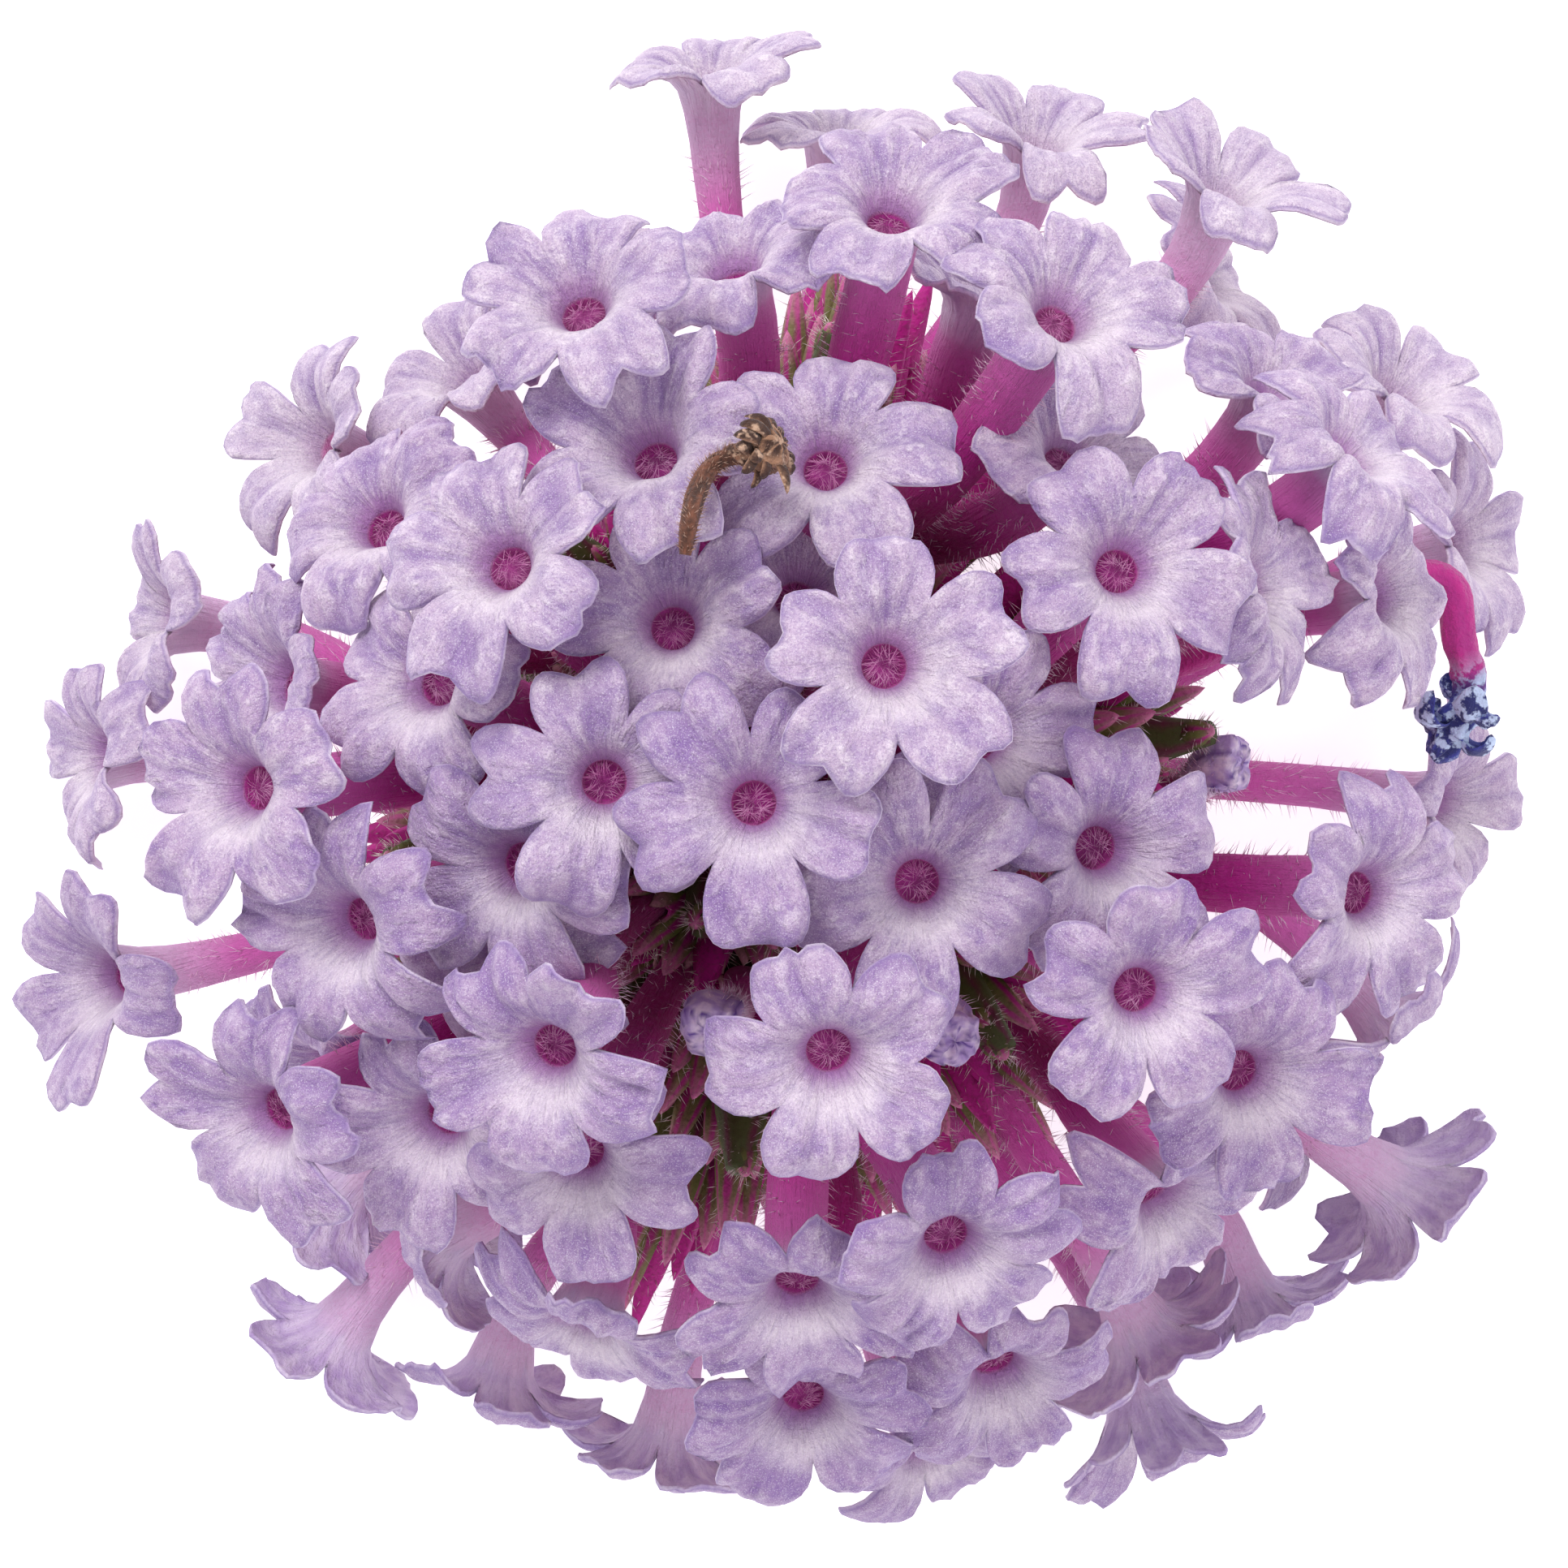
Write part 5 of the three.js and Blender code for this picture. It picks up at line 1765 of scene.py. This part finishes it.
@dataclass
class Stem:
    """The square stem's cut stub, with a short branch to each spike."""

    plan: HeadPlan
    half: float = 1.3
    groove: float = 0.8
    corner: float = 1.32
    foot: Vector = field(default_factory=lambda: Vector((0.9, 1.9, -6.8)))
    top: float = 0.4
    branch: float = 0.8
    columns: int = 40
    branch_columns: int = 16
    hair_count: int = 500

    STUB_ROWS = (
        *((0.0, 0.0), (0.0, 0.8), (0.0, 0.97), (0.15, 1.0), (0.35, 1.0)),
        *((0.55, 1.0), (0.75, 1.0), (0.9, 1.0), (1.0, 0.9), (1.0, 0.0)),
    )
    BRANCH_ROWS = ((0.0, 0), (0.0, 1), (0.5, 1), (1.2, 1), (1.9, 1), (2.55, 1), (2.6, 0))

    def __post_init__(self) -> None:
        """Works out the stub's axis."""
        self.axis = -self.foot.normalized()
        self.reference = Vector((1, 0, 0))

    def stub_spot(self, column: int, row: int) -> Spot:
        """The surface of the stub."""
        share, size = self.STUB_ROWS[row]
        turn = 2 * math.pi * column / self.columns
        square = abs(math.sin(2 * turn))
        radius = self.half * lerp(self.groove, self.corner, square**2.2) * size
        along = share * (self.foot.length + self.top)
        place = FOCUS + self.foot + self.axis * along + around(self.axis, self.reference, turn) * radius
        return Spot(place, mask=(square, 0.5, 1.0 if row < 2 else 0.0))

    def branch_spot(self, spike: Spike, column: int, row: int) -> Spot:
        """The surface of a branch."""
        distance, size = self.BRANCH_ROWS[row]
        turn = 2 * math.pi * column / self.branch_columns
        square = abs(math.sin(2 * turn))
        radius = self.branch * lerp(0.85, 1.0, square) * size
        place = FOCUS + spike.axis * distance + around(spike.axis, UP, turn) * radius
        return Spot(place, mask=(square, 0.8, 0.0))

    def build(self, material: bpy.types.Material, hairs: HairField) -> None:
        """Makes the stem and its hairs."""
        form = Wrapping("stem_stub")
        form.wrap(self.columns, len(self.STUB_ROWS) - 1, self.stub_spot)
        for spike in self.plan.spikes:
            form.wrap(self.branch_columns, len(self.BRANCH_ROWS) - 1, partial(self.branch_spot, spike))
        form.piece(material, "stem", ["stem"])
        for k in range(self.hair_count):
            turn = 2 * math.pi * draw(Series.STEM_TURN, k)
            out = around(self.axis, self.reference, turn)
            radius = self.half * lerp(self.groove, 1.3, abs(math.sin(2 * turn)) ** 2.2)
            along = 0.3 + 6.2 * draw(Series.STEM_STATION, k)
            aim = (out + self.axis * (0.6 * draw(Series.STEM_SLANT, k) - 0.3)).normalized()
            length = 0.3 + 0.4 * draw(Series.STEM_LENGTH, k)
            hairs.grow(FOCUS + self.foot + self.axis * along + out * radius, aim, length, 0.02)


# ---------- studio ----------


@dataclass
class Studio:
    """Camera, floor and soft light."""

    distance: float = 150
    focal_share: float = 5929 / 1932
    centre: tuple[float, float] = (950, 960)
    frame: float = 1932
    sensor: float = 36
    floor_half: float = 0.8
    floor_drop: float = 0.0002
    sky: Colour = (0.97, 0.935, 1.0)
    sky_strength: float = 0.765

    def camera(self) -> None:
        """Looks straight down on the head."""
        data = bpy.data.cameras.new("camera")
        data.sensor_width = self.sensor
        data.lens = self.focal_share * self.sensor
        data.shift_x = (self.frame / 2 - self.centre[0]) / self.frame
        data.shift_y = (self.centre[1] - self.frame / 2) / self.frame
        data.clip_start = 0.005
        camera = bpy.data.objects.new("camera", data)
        camera.location = (FOCUS + UP * self.distance) * MM
        bpy.context.scene.collection.objects.link(camera)
        bpy.context.scene.camera = camera

    def floor(self) -> None:
        """Lays the floor under the head."""
        bm = bmesh.new()
        bmesh.ops.create_grid(bm, x_segments=2, y_segments=2, size=self.floor_half)
        bmesh.ops.translate(bm, verts=bm.verts, vec=(0, 0, -self.floor_drop))
        mesh = bpy.data.meshes.new("floor")
        bm.to_mesh(mesh)
        bm.free()
        mesh.materials.append(FloorFinish().material())
        floor = bpy.data.objects.new("floor", mesh)
        bpy.context.scene.collection.objects.link(floor)

    def light(self, name: str, place: Vector, size: float, power: float) -> None:
        """Hangs one soft light that faces the head."""
        data = bpy.data.lights.new(name, "AREA")
        data.shape = "DISK"
        data.size = size
        data.energy = power
        lamp = bpy.data.objects.new(name, data)
        lamp.location = place * MM
        lamp.rotation_euler = (FOCUS - place).to_track_quat("-Z", "Y").to_euler()
        bpy.context.scene.collection.objects.link(lamp)

    def build(self) -> None:
        """Sets up the studio."""
        self.camera()
        self.floor()
        self.light("key_light", Vector((-120, 230, 330)), 0.2, 0.92)
        self.light("fill_light", Vector((200, -160, 360)), 0.4, 0.48)
        world = bpy.data.worlds.new("soft_room")
        world.use_nodes = True
        background = world.node_tree.nodes["Background"]
        background.inputs["Color"].default_value = (*self.sky, 1)
        background.inputs["Strength"].default_value = self.sky_strength
        bpy.context.scene.world = world
        bpy.context.scene.view_settings.view_transform = "Standard"


# ---------- the whole head ----------


@dataclass
class VerbenaHead:
    """Builds every piece of the head in place of its solids."""

    nodes: dict[str, bpy.types.Object]
    plan: HeadPlan = field(default_factory=HeadPlan)

    def node_of(self, number: int) -> str:
        """The solid that holds a corolla."""
        for name in self.nodes:
            if name.startswith("floret") and f"{number:02d}" in name.split("_")[1:]:
                return name
        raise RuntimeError(f"no solid holds floret {number}")

    def build(self) -> None:
        """Builds the head."""
        brush = HairFinish("throat_hair", (0.70, 0.15, 0.48), (0.96, 0.55, 0.80)).material()
        throat = HairField("throat_hairs", brush, "petal", True)
        fluff = HairFinish("tube_hair", (0.80, 0.42, 0.62), (0.97, 0.86, 0.92)).material()
        tube = HairField("tube_hairs", fluff, "petal")
        petals = CorollaFinish().material()
        for floret in self.plan.florets:
            corolla = OpenCorolla(floret)
            corolla.build(petals, self.node_of(floret.number))
            corolla.grow_hairs(throat, tube)
        folded = FurledFinish().material()
        for bud in self.plan.furled:
            furled = FurledCorolla(bud)
            furled.build(folded, self.node_of(bud.number))
            furled.grow_hairs(tube)
        self.build_withered()
        throat.piece()
        tube.piece()
        calyx = CalyxFinish().material()
        down = HairFinish("calyx_hair", (0.60, 0.48, 0.42), (0.95, 0.88, 0.82)).material()
        for index, spike in enumerate(self.plan.spikes):
            hairs = HairField(f"calyx_hairs_{spike.name}", down, "calyx")
            SpikeBuilder(spike, index, self.plan).build(calyx, f"spike_{spike.name}", hairs)
            hairs.piece()
        hairs = HairField("stem_hairs", down, "stem")
        Stem(self.plan).build(StemFinish().material(), hairs)
        hairs.piece()

    def build_withered(self) -> None:
        """Builds the two withered corollas and their hairs."""
        dry = WitheredFinish(
            "dry_brown", (0.21, 0.075, 0.04), (0.36, 0.19, 0.11), (0.05, 0.018, 0.01), (0.58, 0.38, 0.26), 0.56
        )
        brown = WitheredCorolla(self.plan.brown, "brown", dry, lobes=18, lobe_width=0.2, lobe_length=0.9)
        brown.build()
        fibre = HairFinish("dry_hair", (0.26, 0.11, 0.07), (0.66, 0.45, 0.34)).material()
        fuzz = HairField("dry_hairs", fibre, "withered_brown")
        brown.grow_hairs(fuzz)
        fuzz.piece()
        inky = WitheredFinish(
            "dry_blue", (0.52, 0.02, 0.24), (0.05, 0.06, 0.34), (0.02, 0.025, 0.15), (0.58, 0.70, 0.94), 0.47, 0.2
        )
        WitheredCorolla(self.plan.blue, "blue", inky, stoutness=2.1, lobe_width=0.56, lobe_length=1.55).build()


def main() -> None:
    """Loads the frame, builds the head and the studio, and notes their sizes."""
    logging.basicConfig(level=logging.INFO, format="%(name)s: %(message)s")
    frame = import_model()
    Studio().build()
    VerbenaHead(frame["nodes"]).build()


if __name__ == "__main__":
    main()
